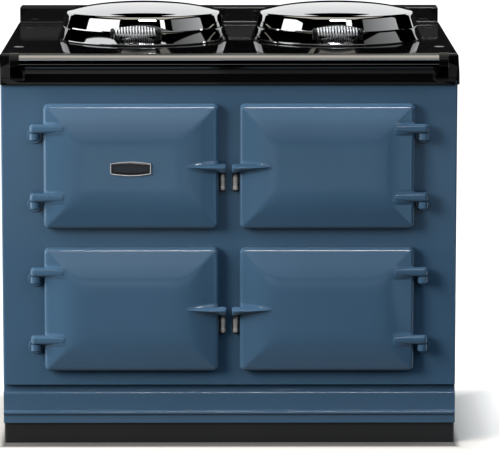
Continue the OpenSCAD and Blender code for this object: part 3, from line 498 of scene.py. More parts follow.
# a handle's sections: x, then top, top shoulder, ridge, bottom shoulder and bottom as (y, z)
HANDLE = [
    (5.2, (-364, 4.5), (-378, 4.0), (-381.0, -1.0), (-378, -9.0), (-364, -10.0)),
    (6.2, (-362, 7.6), (-380, 6.6), (-384.6, -0.6), (-380, -12.6), (-364, -13.6)),
    (10.0, (-360, 8.6), (-381, 7.6), (-386.6, -0.2), (-380, -13.2), (-362, -14.2)),
    (19.0, (-360, 8.6), (-381, 7.4), (-387.6, 0.0), (-379, -12.8), (-362, -13.8)),
    (23.5, (-362, 8.4), (-381, 6.6), (-387.9, 0.0), (-380, -8.6), (-364, -9.6)),
    (34.0, (-364, 8.4), (-381, 5.8), (-388.0, 0.2), (-381, -7.0), (-366, -9.0)),
    (46.0, (-368, 8.0), (-382, 4.8), (-387.9, 0.3), (-382, -5.6), (-370, -8.2)),
    (60.0, (-372, 6.4), (-382, 3.8), (-386.6, 0.6), (-382, -3.8), (-373, -6.2)),
    (74.0, (-375, 4.4), (-381, 3.0), (-384.4, 1.0), (-381, -1.8), (-376, -3.4)),
    (86.0, (-377, 2.6), (-380, 2.2), (-381.6, 1.2), (-380, -0.2), (-377, -0.8)),
    (91.0, (-377, 1.8), (-378.6, 1.6), (-379.2, 1.2), (-378.6, 0.6), (-377, 0.4)),
]


def soft_least(first, second, blend):
    """The lesser of two heights, rounded off where they meet."""
    share = max(blend - abs(first - second), 0.0) / blend
    return min(first, second) - share * share * blend / 4


def rise_at(sizes, inset):
    """Height of a door's face at an inset from its edge: rounded rim, easing, slope, crown."""
    turn = math.radians(RIM_TURN)
    rim_end = sizes.rim_reach * (1 - math.cos(turn))
    rim_top = sizes.wall + sizes.rim_rise * math.sin(turn)
    if inset <= rim_end:
        share = 1 - inset / sizes.rim_reach
        return sizes.wall + sizes.rim_rise * math.sqrt(max(0.0, 1 - share ** 2))
    steep = math.tan(math.radians(90 - RIM_TURN)) * sizes.rim_rise / sizes.rim_reach
    reach, even, power = EASED_TO - rim_end, sizes.slope_width - EASED_TO, sizes.easing + 1
    slope = (sizes.crown - rim_top - steep * reach / 2) / (reach / 2 + even + sizes.fade / power)
    if inset < EASED_TO:
        run = inset - rim_end
        return rim_top + steep * run + (slope - steep) * run * run / (2 * reach)
    share = min(1.0, max(0.0, (inset - sizes.slope_width) / sizes.fade))
    below = slope * max(0.0, sizes.slope_width - inset)
    return sizes.crown - below - slope * sizes.fade / power * (1 - share) ** power


def bar_reach(x, z):
    """How far outside the arms and the handle a point lies, and how strong the fillet is there."""
    best, strength = math.inf, 0.0
    for level in ARM_LEVELS:
        out = max(abs(z - level) - ARM_HALF, (ARM_NOSE[0] - ARM_NOSE[2] + 2 - x) * 0.8)
        if out < best:
            best, strength = out, min(1.0, max(0.0, (x - ARM_NOSE[0] + 8) / 22))
    for (xa, top_a, *_, foot_a), (xb, top_b, *_, foot_b) in zip(HANDLE, HANDLE[1:]):
        if xa <= x <= xb:
            share = (x - xa) / (xb - xa)
            top = top_a[1] + (top_b[1] - top_a[1]) * share
            foot = foot_a[1] + (foot_b[1] - foot_a[1]) * share
            out = max(z - top, foot - z)
            if out < best:
                best, strength = out, min(1.0, (top - foot) / 12)
    return best, strength


def face_height(sizes, x, z):
    """How far a door's face stands off its back at (x, z), drawn for a right-hand door."""
    half_x = min(x - sizes.inner_edge, sizes.inner_edge + sizes.width - x)
    half_z = sizes.height / 2 - abs(z)
    inset = min(half_x, half_z)
    if inset < EASED_TO:
        height = rise_at(sizes, inset)
    else:
        blend = min(HIP_MOST, HIP_LEAST + HIP_GROWTH * (inset - EASED_TO))
        height = soft_least(rise_at(sizes, half_x), rise_at(sizes, half_z), blend)
    out, strength = bar_reach(x, z)
    if out < FILLET:
        height += (FILLET - max(out, 0.0)) ** 2 / (FILLET_FLAT * FILLET) * strength
    return height


def half_lines(sizes, span):
    """Places of mesh lines from an edge to the middle of a span."""
    rim = [sizes.rim_reach * (1 - math.cos(math.radians(a))) for a in RIM_STEPS]
    stops = [rim[-1], EASED_TO, sizes.slope_width, sizes.slope_width + sizes.fade, span / 2]
    cells = [sizes.cell * 0.45] + [sizes.cell] * 3
    lines = rim[:-1]
    for start, end, cell in zip(stops, stops[1:], cells):
        count = max(1, round((end - start) / cell))
        lines += [start + (end - start) * i / count for i in range(count)]
    return lines


def grid_lines(sizes, span):
    lines = half_lines(sizes, span)
    return lines + [span / 2] + [span - place for place in reversed(lines)]


def door_shell(mesh, sizes):
    """The face, rim, edge and back of a right-hand door, about z = 0."""
    across, up = grid_lines(sizes, sizes.width), grid_lines(sizes, sizes.height)
    made = bmesh.ops.create_grid(mesh, x_segments=len(across) - 1, y_segments=len(up) - 1,
                                 size=0.5)["verts"]
    corner, mid_x = sizes.corner, sizes.inner_edge + sizes.width / 2
    for v in made:
        x = sizes.inner_edge + across[round((v.co.x + 0.5) * (len(across) - 1))]
        z = up[round((v.co.y + 0.5) * (len(up) - 1))] - sizes.height / 2
        y = -sizes.back - face_height(sizes, x, z)
        dx = abs(x - mid_x) - (sizes.width / 2 - corner)
        dz = abs(z) - (sizes.height / 2 - corner)
        if dx > 0 and dz > 0:
            pull = max(dx, dz) / math.hypot(dx, dz)
            x -= math.copysign(dx - dx * pull, x - mid_x)
            z -= math.copysign(dz - dz * pull, z)
        v.co = (x, y, z)
    edge = [e for e in mesh.edges if e.is_boundary]
    for depth, inset in ((1.5, 0.0), (0.0, 1.2)):
        grown = bmesh.ops.extrude_edge_only(mesh, edges=edge)["geom"]
        for v in grown:
            if isinstance(v, bmesh.types.BMVert):
                v.co.y = -sizes.back - depth
                v.co.x += math.copysign(inset, mid_x - v.co.x)
                v.co.z -= math.copysign(inset, v.co.z)
        edge = [e for e in grown if isinstance(e, bmesh.types.BMEdge) and e.is_boundary]
    bmesh.ops.holes_fill(mesh, edges=edge, sides=0)


def arm_outline(inset):
    """The arm seen from above, as the hull of its two round ends, drawn in by an inset."""
    (xa, ya, ra), (xb, yb, rb) = PIVOT, ARM_NOSE
    along = math.atan2(yb - ya, xb - xa)
    spread = math.acos((ra - rb) / math.hypot(xb - xa, yb - ya))
    points = []
    for x, y, radius, start, turn in (
            (xa, ya, ra, along + spread, 2 * math.pi - 2 * spread),
            (xb, yb, rb, along - spread, 2 * spread)):
        for step in range(21):
            angle, reach = start + turn * step / 20, radius - inset
            points.append((x + reach * math.cos(angle), y + reach * math.sin(angle)))
    return points


def hinge_arm(mesh, level):
    """A cast arm with well rounded edges, lower at its nose than at the pivot."""
    (pivot_ends, nose_ends), rings = ARM_ENDS, []
    for side, turns in ((0, range(90, -1, -15)), (1, range(0, 91, 15))):
        for degrees in turns:
            turn, places = math.radians(degrees), []
            for x, y in arm_outline(ARM_ROUND * (1 - math.cos(turn))):
                share = min(1.0, max(0.0, (PIVOT[0] - x) / (PIVOT[0] - ARM_NOSE[0])))
                end = pivot_ends[side] + (nose_ends[side] - pivot_ends[side]) * share
                middle = (sum(pivot_ends) + sum(nose_ends) * share) / 2
                reach = end + math.copysign(ARM_ROUND * (1 - math.sin(turn)), middle - end)
                places.append((x, y, level + reach))
            rings.append(ring_of(mesh, places))
    skinned(mesh, rings)
    for ring in (rings[0], rings[-1]):
        bmesh.ops.holes_fill(mesh, edges=ring, sides=0)


def door_handle(mesh):
    """A cast handle, drawn through its sections and rounded, with its ridge kept tight."""
    crease = mesh.edges.layers.float.new("crease_edge")
    rings = []
    for x, *places in HANDLE:
        rings.append(ring_of(mesh, [(x, y, z) for y, z in places]))
        ridge = rings[-1][2].verts[0]
        if len(rings) > 1:
            made = bmesh.ops.bridge_loops(mesh, edges=rings[-2] + rings[-1])
            for edge in made["edges"]:
                if ridge in edge.verts and 9 < x < 90:
                    edge[crease] = HANDLE_CREASE
    closed(mesh)


def rounded_off(cage, mesh):
    """Adds a cage to a mesh, divided with the Subdivision Surface modifier."""
    bmesh.ops.recalc_face_normals(cage, faces=cage.faces)
    holder = as_object(cage, "cage")
    modifier = holder.modifiers.new("Rounding", "SUBSURF")
    modifier.levels = modifier.render_levels = ROUNDING
    bpy.context.view_layer.update()
    evaluated = holder.evaluated_get(bpy.context.evaluated_depsgraph_get())
    shaped, data = bpy.data.meshes.new_from_object(evaluated), holder.data
    bpy.data.objects.remove(holder)
    mesh.from_mesh(shaped)
    for spent in (data, shaped):
        bpy.data.meshes.remove(spent)


class COOKER_OT_doors(bpy.types.Operator):
    """Build the four enamelled doors with their cast arms and handles"""

    bl_idname = "cooker.doors"
    bl_label = "Doors"

    def execute(self, context):
        sizes = context.scene.cooker_doors
        for row, mid_z in (("top", sizes.high_row), ("low", sizes.low_row)):
            for side_name, side in SIDES.items():
                name = f"{row}_{side_name}"
                mesh, cage = bmesh.new(), bmesh.new()
                door_shell(mesh, sizes)
                door_handle(cage)
                rounded_off(cage, mesh)
                for level in ARM_LEVELS:
                    hinge_arm(mesh, level)
                mirrored(mesh, side)
                bmesh.ops.translate(mesh, verts=mesh.verts, vec=(0, 0, mid_z))
                # the doors take the lightened copy of the enamel, which is painted light
                finish_piece(mesh, "enamel_door_" + name, "door_" + name, "door_enamel",
                             ["door_" + name], even=True)
        return {"FINISHED"}


# ---- lids ----


LID_MIDS = {"left": (-191.0, -13.0), "right": (239.0, -13.0)}
TOP_Z = 851.0
# how far the grips stand turned from straight ahead, in degrees
LID_TURNS = {"left": -3.0, "right": -1.0}
# the shell's outside from its foot to its shoulder, as (radius, height)
SHELL_SIDE = [(180.0, 29.2), (180.0, 30.4), (179.6, 32.2), (172.7, 54.0), (172.1, 55.9),
              (171.0, 58.6), (169.4, 60.3), (167.2, 61.4), (164.4, 62.2)]
# the crown's radii, its foot, its rise and the radius and power that round it off
CROWN_RADII = (157, 150, 142, 132, 120, 106, 90, 72, 54, 36, 18, 6)
CROWN_FOOT, CROWN_RISE, CROWN_REACH, CROWN_POWER = 62.0, 16.0, 162.5, 2.8
# the sheet's thickness across and along, and the foot of its inside
SHEET, SHEET_CROWN, SHELL_FOOT = 2.0, 1.6, (176.6, 29.2)
RIM_RING = [(173.7, 0.4), (188.2, 0.4), (189.4, 0.9), (189.8, 2.2), (188.9, 5.0),
            (180.2, 26.6), (179.2, 28.4), (177.6, 29.0), (173.7, 29.0), (173.7, 0.4)]
# the grip's axis in front of a lid's middle, and the steps and start of its wire
GRIP_AXIS = (0, -215.0, 34.5)
WIRE_SIDES, TURN_STEPS, WIRE_START = 10, 26, 10.0
ROD, ROD_SIDES, ROD_PAST = 4.2, 24, 2
# bosses and posts as sections from the grip's end: x, z low, z high, y front, y back
GRIP_BOSS = [(-0.5, 28.0, 41.0, -221.5, -208.5), (0.6, 26.5, 42.5, -223.0, -207.0),
             (3.6, 26.0, 43.0, -223.5, -206.0), (7.0, 27.5, 41.5, -222.0, -208.0),
             (8.2, 30.5, 38.5, -219.0, -211.0)]
GRIP_POST = [(0.5, 20.0, 34.0, -214.0, -176.0), (2.0, 15.0, 36.0, -217.0, -170.0),
             (6.0, 15.0, 36.0, -217.0, -170.0), (7.6, 20.0, 34.0, -214.0, -176.0)]


def dome_outline():
    """Outside of the domed shell: leaning side, tight shoulder, flat crown."""
    crown = [(r, CROWN_FOOT + CROWN_RISE * (1 - (r / CROWN_REACH) ** CROWN_POWER))
             for r in CROWN_RADII]
    return SHELL_SIDE + crown + [(0.0, CROWN_FOOT + CROWN_RISE)]


class COOKER_OT_lids(bpy.types.Operator):
    """Turn the rims and shells of the two lids"""

    bl_idname = "cooker.lids"
    bl_label = "Lids"

    def execute(self, context):
        sizes = context.scene.cooker_lids
        outer = dome_outline()
        top = outer[-1][1] - SHEET
        inner = [(0.0, top)] + [(r - SHEET if r > 20 else r, min(h - SHEET_CROWN, top))
                                for r, h in reversed(outer[1:-1])] + [SHELL_FOOT]
        for side, (x, y) in LID_MIDS.items():
            body = "lid_" + side
            mesh = bmesh.new()
            turned(mesh, outer + inner, sizes.steps, (x, y, TOP_Z))
            finish_piece(mesh, "polished_shell_" + side, body, "chrome",
                         ["lid_shell_" + side])
            mesh = bmesh.new()
            turned(mesh, RIM_RING, sizes.steps, (x, y, TOP_Z))
            finish_piece(mesh, "lid_rim_ring_" + side, body, "rim_chrome",
                         ["lid_rim_" + side])
        return {"FINISHED"}


def grip_at(side, mesh):
    """Carries a grip drawn about the lid's middle to its place, with the lid's small turn."""
    turn = Matrix.Rotation(math.radians(LID_TURNS[side]), 4, "Z")
    place = Matrix.Translation((*LID_MIDS[side], TOP_Z)) @ turn
    bmesh.ops.transform(mesh, matrix=place, verts=mesh.verts)


def wound_wire(sizes):
    """A coil of wire along X that swells from its ends to its middle."""
    mesh, radius = bmesh.new(), sizes.wire / 2
    for v in bmesh.ops.create_circle(mesh, segments=WIRE_SIDES, radius=radius)["verts"]:
        v.co = (v.co.x, WIRE_START + v.co.y, 0.0)
    count, run = sizes.turns * TURN_STEPS, sizes.grip - 2 * radius - 1.0
    bmesh.ops.spin(mesh, geom=mesh.verts[:] + mesh.edges[:], cent=(0, 0, 0), axis=(1, 0, 0),
                   dvec=(run / count, 0, 0), angle=sizes.turns * 2 * math.pi, steps=count)
    for v in mesh.verts:
        r = math.hypot(v.co.y, v.co.z)
        share = min(max(v.co.x / run, 0.0), 1.0)
        bulge = (sizes.grip_middle - sizes.grip_end) * math.sin(math.pi * share)
        grown = (r + sizes.grip_end + bulge - radius - WIRE_START) / r
        v.co = (v.co.x - run / 2, v.co.y * grown, v.co.z * grown)
    closed(mesh)
    bmesh.ops.translate(mesh, verts=mesh.verts, vec=GRIP_AXIS)
    return mesh


def grip_posts(sizes):
    """The rod through the coil, with the boss and the post at each end."""
    mesh, cage, half = bmesh.new(), bmesh.new(), sizes.grip / 2
    for end in (-1, 1):
        for sections in (GRIP_BOSS, GRIP_POST):
            lofted(cage, [(end * (half + x), *box) for x, *box in sections])
    rounded_off(cage, mesh)
    rod = half + ROD_PAST
    turned(mesh, [(0, -rod), (ROD, -rod), (ROD, rod), (0, rod)], ROD_SIDES, GRIP_AXIS, "X")
    return mesh


class COOKER_OT_grips(bpy.types.Operator):
    """Wind the coil grips and shape the posts that hold them"""

    bl_idname = "cooker.grips"
    bl_label = "Coil grips"

    def execute(self, context):
        sizes = context.scene.cooker_lids
        for side in LID_MIDS:
            mesh = wound_wire(sizes)
            grip_at(side, mesh)
            # the wire takes the lightened chrome, whose brightness is painted
            finish_piece(mesh, "wound_grip_" + side, "lid_" + side, "coil_chrome",
                         ["lid_handle_coil_" + side])
            mesh = grip_posts(sizes)
            grip_at(side, mesh)
            finish_piece(mesh, "grip_posts_" + side, "lid_" + side, "black_iron",
                         ["lid_handle_bar_" + side])
        return {"FINISHED"}


# ---- the badge, bare ----


# the plate's rings as (inset, depth behind its front); None stands for its back
PLATE_FRAME = [(0.0, None), (0.0, 0.7), (0.5, 0.1), (1.6, 0.1), (2.2, 0.9), (2.2, None)]
PLATE_FIELD = [(1.8, None), (1.8, 0.8), (5.0, 0.35), (9.0, 0.3)]
# share of the plate's height that its bowed sides lose at the ends
PLATE_BOW = 0.26


def oval_ring(mesh, mid, half, inset, y):
    """A closed ring round the plate: bowed long sides, short upright ends with rounded corners."""
    wide, high, points = half.x - inset, half.z - inset, []
    for step in range(13):
        across = -1 + step / 6
        points.append((across * (wide - 1.2), high * (1 - PLATE_BOW * across ** 2)))
    end = high * (1 - PLATE_BOW)
    corner = [(wide - 0.35, end - 0.4), (wide, end - 1.4)]
    points = [(-x, z) for x, z in reversed(corner)] + points + corner
    points += [(x, -z) for x, z in reversed(points)]
    return ring_of(mesh, [(mid.x + x, y, mid.z + z) for x, z in points])


class COOKER_OT_plate(bpy.types.Operator):
    """Set the bare oval plate on the top left door"""

    bl_idname = "cooker.plate"
    bl_label = "Oval plate"

    def execute(self, context):
        low, high = (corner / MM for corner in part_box("badge_plate"))
        mid, half = (low + high) / 2, (high - low) / 2
        for name, steps, finish, slot, stands_for in (
                ("plate_frame", PLATE_FRAME, "plate_rim", "chrome", ["badge_plate"]),
                ("plate_field", PLATE_FIELD, "plate_field", "black_enamel", ())):
            mesh = bmesh.new()
            skinned(mesh, [oval_ring(mesh, mid, half, inset,
                                     high.y if depth is None else low.y + depth)
                           for inset, depth in steps])
            closed(mesh)
            finish_piece(mesh, name, "door_top_left", finish, stands_for,
                         even=True)
        return {"FINISHED"}


# ---- rollers ----


# a roller's outline from its foot: height and radius as shares of the whole
ROLLER = [(0.0, 0.0), (0.0, 0.86), (0.03, 1.0), (0.24, 1.0), (0.26, 0.82), (0.29, 0.82),
          (0.31, 0.90), (0.60, 0.90), (0.62, 1.0), (0.83, 1.0), (0.85, 0.76), (0.90, 0.76),
          (0.92, 1.0), (0.97, 1.0), (1.0, 0.86), (1.0, 0.0)]
ROLLER_STEPS = 40


class COOKER_OT_rollers(bpy.types.Operator):
    """Turn the grooved catch rollers and fold the black cheeks beside them"""

    bl_idname = "cooker.rollers"
    bl_label = "Rollers"

    def execute(self, context):
        for node in ("roller_top_left", "roller_top_right", "roller_low_left", "roller_low_right"):
            low, high = (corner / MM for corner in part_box(node))
            mid, tall, radius = (low + high) / 2, high.z - low.z, (high.x - low.x) / 2
            mesh = bmesh.new()
            turned(mesh, [(r * radius, h * tall) for h, r in ROLLER], ROLLER_STEPS,
                   (mid.x, mid.y, low.z))
            finish_piece(mesh, "turned_" + node, node, "roller_steel", [node],
                         even=True)
            # the cheek beside the roller and the shelf over it, as (place, size)
            cheek = ((7.0, 1.5, 0), (1.3, 11.0, tall + 3))
            shelf = ((0.5, 0.0, tall / 2 + 1.3), (13.5, 13.0, 1.4))
            mesh, side = bmesh.new(), math.copysign(1, mid.x)
            for (x, y, z), size in (cheek, shelf):
                made = bmesh.ops.create_cube(mesh, size=1.0)["verts"]
                bmesh.ops.scale(mesh, verts=made, vec=size)
                bmesh.ops.translate(mesh, verts=made, vec=(mid.x + side * x, mid.y + y, mid.z + z))
            bmesh.ops.bevel(mesh, geom=mesh.edges[:], offset=0.3, offset_type="OFFSET", segments=2,
                            profile=0.5, affect="EDGES", clamp_overlap=True)
            finish_piece(mesh, "cheek_" + node, "cabinet", "cheek_black")
        return {"FINISHED"}


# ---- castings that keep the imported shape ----


# castings by their finish and slot, with the radius of their edges
EASED = {
    ("black_satin", "black_enamel"): {"plinth": 2.0},
    ("blue_enamel", "blue_enamel"): {"lower_rail": 1.0, "front_plate": 1.2, "side_panel_left": 0.6,
                                     "side_panel_right": 0.6, "hinge_lugs": 2.2},
    ("black_enamel", "black_enamel"): {"top_plate": 2.2, "upstand": 1.2},
    ("black_enamel", "black_iron"): {"rail_brackets": 2.5},
    ("black_iron", "black_iron"): {"catch_brackets": 0.6, "lid_hinge_bases": 1.2},
    ("panel_enamel", "panel_enamel"): {"control_panel": 0.5},
    ("machined_iron", "machined_iron"): {"hotplate_left": 0.8, "hotplate_right": 0.8},
    ("oven_iron", "oven_iron"): {"roasting_oven": 1.0, "baking_oven": 1.0, "simmering_oven": 1.0},
}
# pieces that ride as they were packed, by their finish
KEPT = {
    "galvanised": ("back_panel", "control_box", "vent_spigot"),
    "steel": ("pivot_pins", "plate_plugs", "oven_shelves"),
    "chrome": ("handrail",),
    "element_sheath": ("heating_elements",),
    "wool": ("insulation",),
    "black_plastic": ("cable_gland",),
    "liner_metal": ("lid_liner_left", "lid_liner_right", "liner_top_left", "liner_top_right",
                    "liner_low_left", "liner_low_right"),
    "rope": ("seal_top_left", "seal_top_right", "seal_low_left", "seal_low_right"),
    "knob_metal": ("knob_left_plate", "knob_ovens", "knob_right_plate"),
    "black_iron": ("lid_arm_left", "lid_arm_right"),
}


class COOKER_OT_castings(bpy.types.Operator):
    """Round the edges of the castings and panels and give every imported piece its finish"""

    bl_idname = "cooker.castings"
    bl_label = "Castings and panels"

    def execute(self, context):
        bodies = frame["record"]["behaviour"]["bodies"]
        body_of = {node: body for body, nodes in bodies.items() for node in nodes}
        for (finish, slot), castings in EASED.items():
            for node, ease in castings.items():
                eased_copy(node, body_of[node], finish, ease)
        for finish, nodes in KEPT.items():
            for node in nodes:
                data = frame["nodes"][node].data
                data.materials.clear()
                data.materials.append(FINISHES[finish])
        return {"FINISHED"}


# ---- the studio ----


AIM = Vector((0.0, -0.35, 0.5))

# lamps: azimuth from the front, positive to the right, height in degrees, distance, size,
# level at the cooker and colour
LAMPS = {
    "Key lamp": (-50, 21, 5.0, (2.0, 2.0), 0.84, (1.08, 1.0, 0.94)),
    "High left lamp": (-64, 38, 4.5, (1.6, 1.6), 0.32, (1, 1, 1)),
    "Side lamp": (-84, 6, 4.0, (1.2, 1.2), 0.74, (1, 1, 1)),
    "Front fill": (38, 35, 4.0, (2.6, 2.6), 0.19, (0.85, 1.0, 1.12)),
    "Overhead lamp": (0, 83.5, 3.6, (1.7, 0.45), 0.85, (1, 1, 1)),
}

# cards that only reflections show: azimuth, height, distance, width and height in degrees,
# brightness
CARDS = {
    "Low side softbox": (-92, 0, 3.4, 56, 26, 2.4),
    "Key softbox": (-50, 21, 4.6, 12, 12, 3.0),
}

# upright cards that only reflections show: two edges as (x, y, low, high), and brightness at each
UPRIGHTS = {
    "Left softbox": ((-0.64, -0.74, 0.99, 1.35), (-3.0, -0.20, 1.22, 2.12), 1.9, 1.9),
    "Right strip": ((0.60, -1.60, 1.10, 1.98), (0.84, -1.60, 1.10, 1.98), 1.9, 1.9),
    "Right softbox": ((2.1, -2.35, 1.2, 2.75), (3.4, 0.35, 1.2, 2.75), 0.22, 0.60),
    "Low right card": ((0.95, -2.4, 0.0, 0.62), (2.3, -2.4, 0.0, 0.62), 0.0, 1.6),
}

# strips that only reflections show: corners as (x, y, z), lower left and upper right, and
# brightness at the foot and, where it differs, at the top
STRIPS = {
    "Door strip": ((-0.56, -3.9, 3.17), (1.30, -3.9, 3.46), 55.0),
    "Upper far sheen": ((-2.2, -5.4, 0.003), (-0.68, -3.2, 0.003), 0.22),
    "Upper left sheen": ((-0.68, -5.4, 0.003), (-0.05, -3.2, 0.003), 0.60),
    "Upper right sheen": ((0.05, -5.4, 0.003), (2.2, -3.2, 0.003), 0.36),
    "Upper left foot": ((-2.2, -5.4, 0.0), (-0.05, -5.4, 0.13), 0.60),
    "Upper right foot": ((0.05, -5.4, 0.0), (2.2, -5.4, 0.13), 0.36),
    "Left front card": ((-2.2, -5.4, 0.46), (-0.03, -5.4, 3.3), 0.38, 1.0),
    "Right front card": ((-0.03, -5.4, 0.46), (2.2, -5.4, 3.3), 0.22, 0.46),
    "Low right floor card": ((1.1, -2.35, 0.004), (2.2, -1.2, 0.004), 0.8),
    "Rail slat low": ((-0.6, -0.55, 0.892), (0.6, -0.55, 0.930), 0.12),
    "Rail slat bright": ((-0.6, -0.55, 0.945), (0.6, -0.55, 0.982), 0.95),
    "Rail slat high": ((-0.6, -0.55, 0.990), (0.6, -0.55, 1.085), 0.15),
    "Rail backing": ((-0.6, -0.56, 0.925), (0.6, -0.56, 1.085), 0.0),
    "Rail under flag": ((-0.5, -0.427, 0.80), (0.5, -0.352, 0.80), 0.0),
    "Rail flag": ((-0.6, -0.46, 0.828), (0.6, -0.46, 0.856), 0.0),
    "Overhead front": ((-1.6, -2.4, 3.4), (1.6, -0.2, 3.4), 0.62),
    "Overhead back": ((-1.6, -0.2, 3.4), (1.6, 1.6, 3.4), 0.80),
    "Back cloth left": ((-6.5, 5.0, 0.0), (-5.2, 5.0, 9.0), 0.0),
    "Back cloth right": ((5.2, 5.0, 0.0), (6.5, 5.0, 9.0), 0.0),
    "Back cloth above": ((-5.2, 5.0, 3.7), (5.2, 5.0, 9.0), 0.0),
}
# tints of the cards, by the first word of their names
TINTS = {"Overhead": (1.0, 0.93, 0.80), "Low": (0.55, 0.95, 1.25), "Upper": (0.80, 1.0, 1.15)}

# the paper floor: its width, its two whites where the eye sees it, and its dark, which light
# bounced off the floor takes and which the eye sees as painted contact shadow at the cooker's foot
PAPER, PAPER_WHITES = 60.0, ((0.52, 0.48, 0.44), (0.54, 0.50, 0.46))
PAPER_BOUNCE_AND_SHADOW_DARK = (0.03, 0.03, 0.03)
# box about which the floor carries painted shadow: its half sizes and how far its middle lies
# before the origin; stops of the painted contact shadow at its edge, and of the floor's glow by the
# distance from it, held low near the box as a painted fade of the cooker's shadow
PAINTED_SHADOW_BOX, PAINTED_SHADOW_BOX_Y = (0.488, 0.235), 0.13
PAINTED_CONTACT_SHADOW_STOPS = (0.0, 0.15), (0.014, 1.0)
GLOW_AND_PAINTED_SHADOW_STOPS = (0.0, 0.04), (0.012, 0.16), (0.07, 0.40), (0.17, 1.0)
# the tent of black cloth, and the cloth before the cooker, bright towards it
TENT, TENT_MIDDLE = (13.0, 14.0, 9.0), (0, -2.0, 4.5)
CLOTH, CLOTH_MIDDLE = (13.0, 8.6), (0, -4.66, 0.002)
CLOTH_STOPS = (0.36, 0.36), (0.60, 0.20), (0.85, 0.08), (1.0, 0.0)
# the flag behind the top plate, and its brightness by the distance from the middle
FLAG, FLAG_MIDDLE = (1.6, 0.122), (0, 0.40, 0.901)
FLAG_STOPS = (0.36, 0.0), (0.40, 0.006), (0.56, 0.012)
# the camera's place across, its shift and its turn about the vertical, in radians
CAMERA_X, CAMERA_SHIFT, CAMERA_TURN = -0.0003, (0.0024, -0.10), -0.00578


def towards(azimuth, rise):
    """A direction from the cooker, by azimuth from the front and height above the horizon."""
    turn, lift = math.radians(azimuth), math.radians(rise)
    flat = math.cos(lift)
    return Vector((math.sin(turn) * flat, -math.cos(turn) * flat, math.sin(lift)))


def stage_piece(mesh, name, material, hidden=True):
    """Makes a bmesh in metres part of the stage; a hidden piece shows only in reflections."""
    piece = as_object(mesh, name, material)
    if hidden:
        piece.visible_camera = piece.visible_diffuse = piece.visible_shadow = False
        piece.visible_transmission = piece.visible_volume_scatter = False


def glow(name, strength, colour=(1, 1, 1)):
    """A plain card that shines evenly; at strength 0 it is a black flag."""
    return Finish(name, Base_Color=(0, 0, 0), Roughness=1.0, Specular_IOR_Level=0.0,
                  Emission_Color=colour, Emission_Strength=strength)


def card_tint(name):
    return TINTS.get(name.split()[0], (1, 1, 1))


def sheet(size, place=Matrix()):
    """A flat rectangle of a size, carried to its place."""
    mesh = bmesh.new()
    bmesh.ops.create_grid(mesh, x_segments=1, y_segments=1, size=0.5)
    bmesh.ops.scale(mesh, verts=mesh.verts, vec=(*size, 1))
    bmesh.ops.transform(mesh, matrix=place, verts=mesh.verts)
    return mesh


def facing_card(name, azimuth, rise, distance, wide, high, strength):
    """A card square to the line from the cooker, its size given as angles."""
    size = [2 * distance * math.tan(math.radians(angle / 2)) for angle in (wide, high)]
    way = towards(azimuth, rise)
    turn = (-way).to_track_quat("-Z", "Y").to_matrix().to_4x4()
    mesh = sheet(size, Matrix.Translation(AIM + way * distance) @ turn)
    stage_piece(mesh, name, glow(name, strength).material)


def strip_card(name, low, high, dim, bright=None):
    """An upright or level strip between two corners, whose brightness may rise from its foot."""
    mesh = sheet((1, 1))
    for v in mesh.verts:
        along, up = v.co.x + 0.5, v.co.y + 0.5
        v.co = (low[0] + (high[0] - low[0]) * along, low[1] + (high[1] - low[1]) * up,
                low[2] + (high[2] - low[2]) * up)
    shine = glow(name, dim, card_tint(name))
    if bright is not None:
        climb = (bright - dim) / (high[2] - low[2])
        shine.set(Emission_Strength=(shine.along(2) - low[2]) * climb + dim)
    stage_piece(mesh, name, shine.material)


def upright_card(name, start, end, first, second):
    """An upright card between two edges, whose brightness may change along it."""
    mesh = bmesh.new()
    corners = (start, start[2]), (end, end[2]), (end, end[3]), (start, start[3])
    mesh.faces.new([mesh.verts.new((*edge[:2], z)) for edge, z in corners])
    shine = glow(name, first, card_tint(name))
    if first != second:
        run = Vector((end[0] - start[0], end[1] - start[1], 0.0))
        steps = run / run.length_squared
        along = shine.node("VectorMath", {"operation": "DOT_PRODUCT"},
                           {0: shine.place(), 1: steps}, 1)
        begins = steps.dot(Vector((start[0], start[1], 0.0)))
        shine.set(Emission_Strength=(along - begins) * (second - first) + first)
    stage_piece(mesh, name, shine.material)


def lamp(name, azimuth, rise, distance, size, level, colour):
    """A soft lamp that only lights; what shows in reflections are the cards."""
    data = bpy.data.lights.new(name, "AREA")
    data.shape = "RECTANGLE"
    data.size, data.size_y = size
    data.energy, data.color = level * math.pi ** 2 * distance ** 2, colour
    way = towards(azimuth, rise)
    holder = bpy.data.objects.new(name, data)
    holder.location = AIM + way * distance
    holder.rotation_euler = (-way).to_track_quat("-Z", "Y").to_euler()
    holder.visible_glossy = False
    bpy.context.scene.collection.objects.link(holder)

def paper_floor():
    """A pale floor with a painted contact shadow at the cooker's foot and a painted fade of its
    shadow, evenly glowing further off.
    """
    paper = Finish("White paper floor", Roughness=0.9, Specular_IOR_Level=0.0)
    seen = paper.seen()
    white = paper.blend(paper.cloud(40.0, 2.0), *PAPER_WHITES)
    across, back = paper.along(0), paper.along(1) + PAINTED_SHADOW_BOX_Y
    away = (abs(across) - PAINTED_SHADOW_BOX[0]).most(abs(back) - PAINTED_SHADOW_BOX[1])
    # painted contact shadow: the eye sees the floor darkened in a thin band at the box's edge
    foot = paper.ramp(away, *PAINTED_CONTACT_SHADOW_STOPS)
    paper.set(Base_Color=paper.blend(seen * foot, PAPER_BOUNCE_AND_SHADOW_DARK, white))
    # the glow is held low near the box, a painted fade of the cooker's shadow; further off the
    # floor glows evenly
    glow_with_painted_shadow_fade = paper.ramp(away, *GLOW_AND_PAINTED_SHADOW_STOPS)
    paper.set(Emission_Color=(1, 1, 1), Emission_Strength=seen * glow_with_painted_shadow_fade)
    stage_piece(sheet((PAPER, PAPER)), "floor", paper.material, hidden=False)


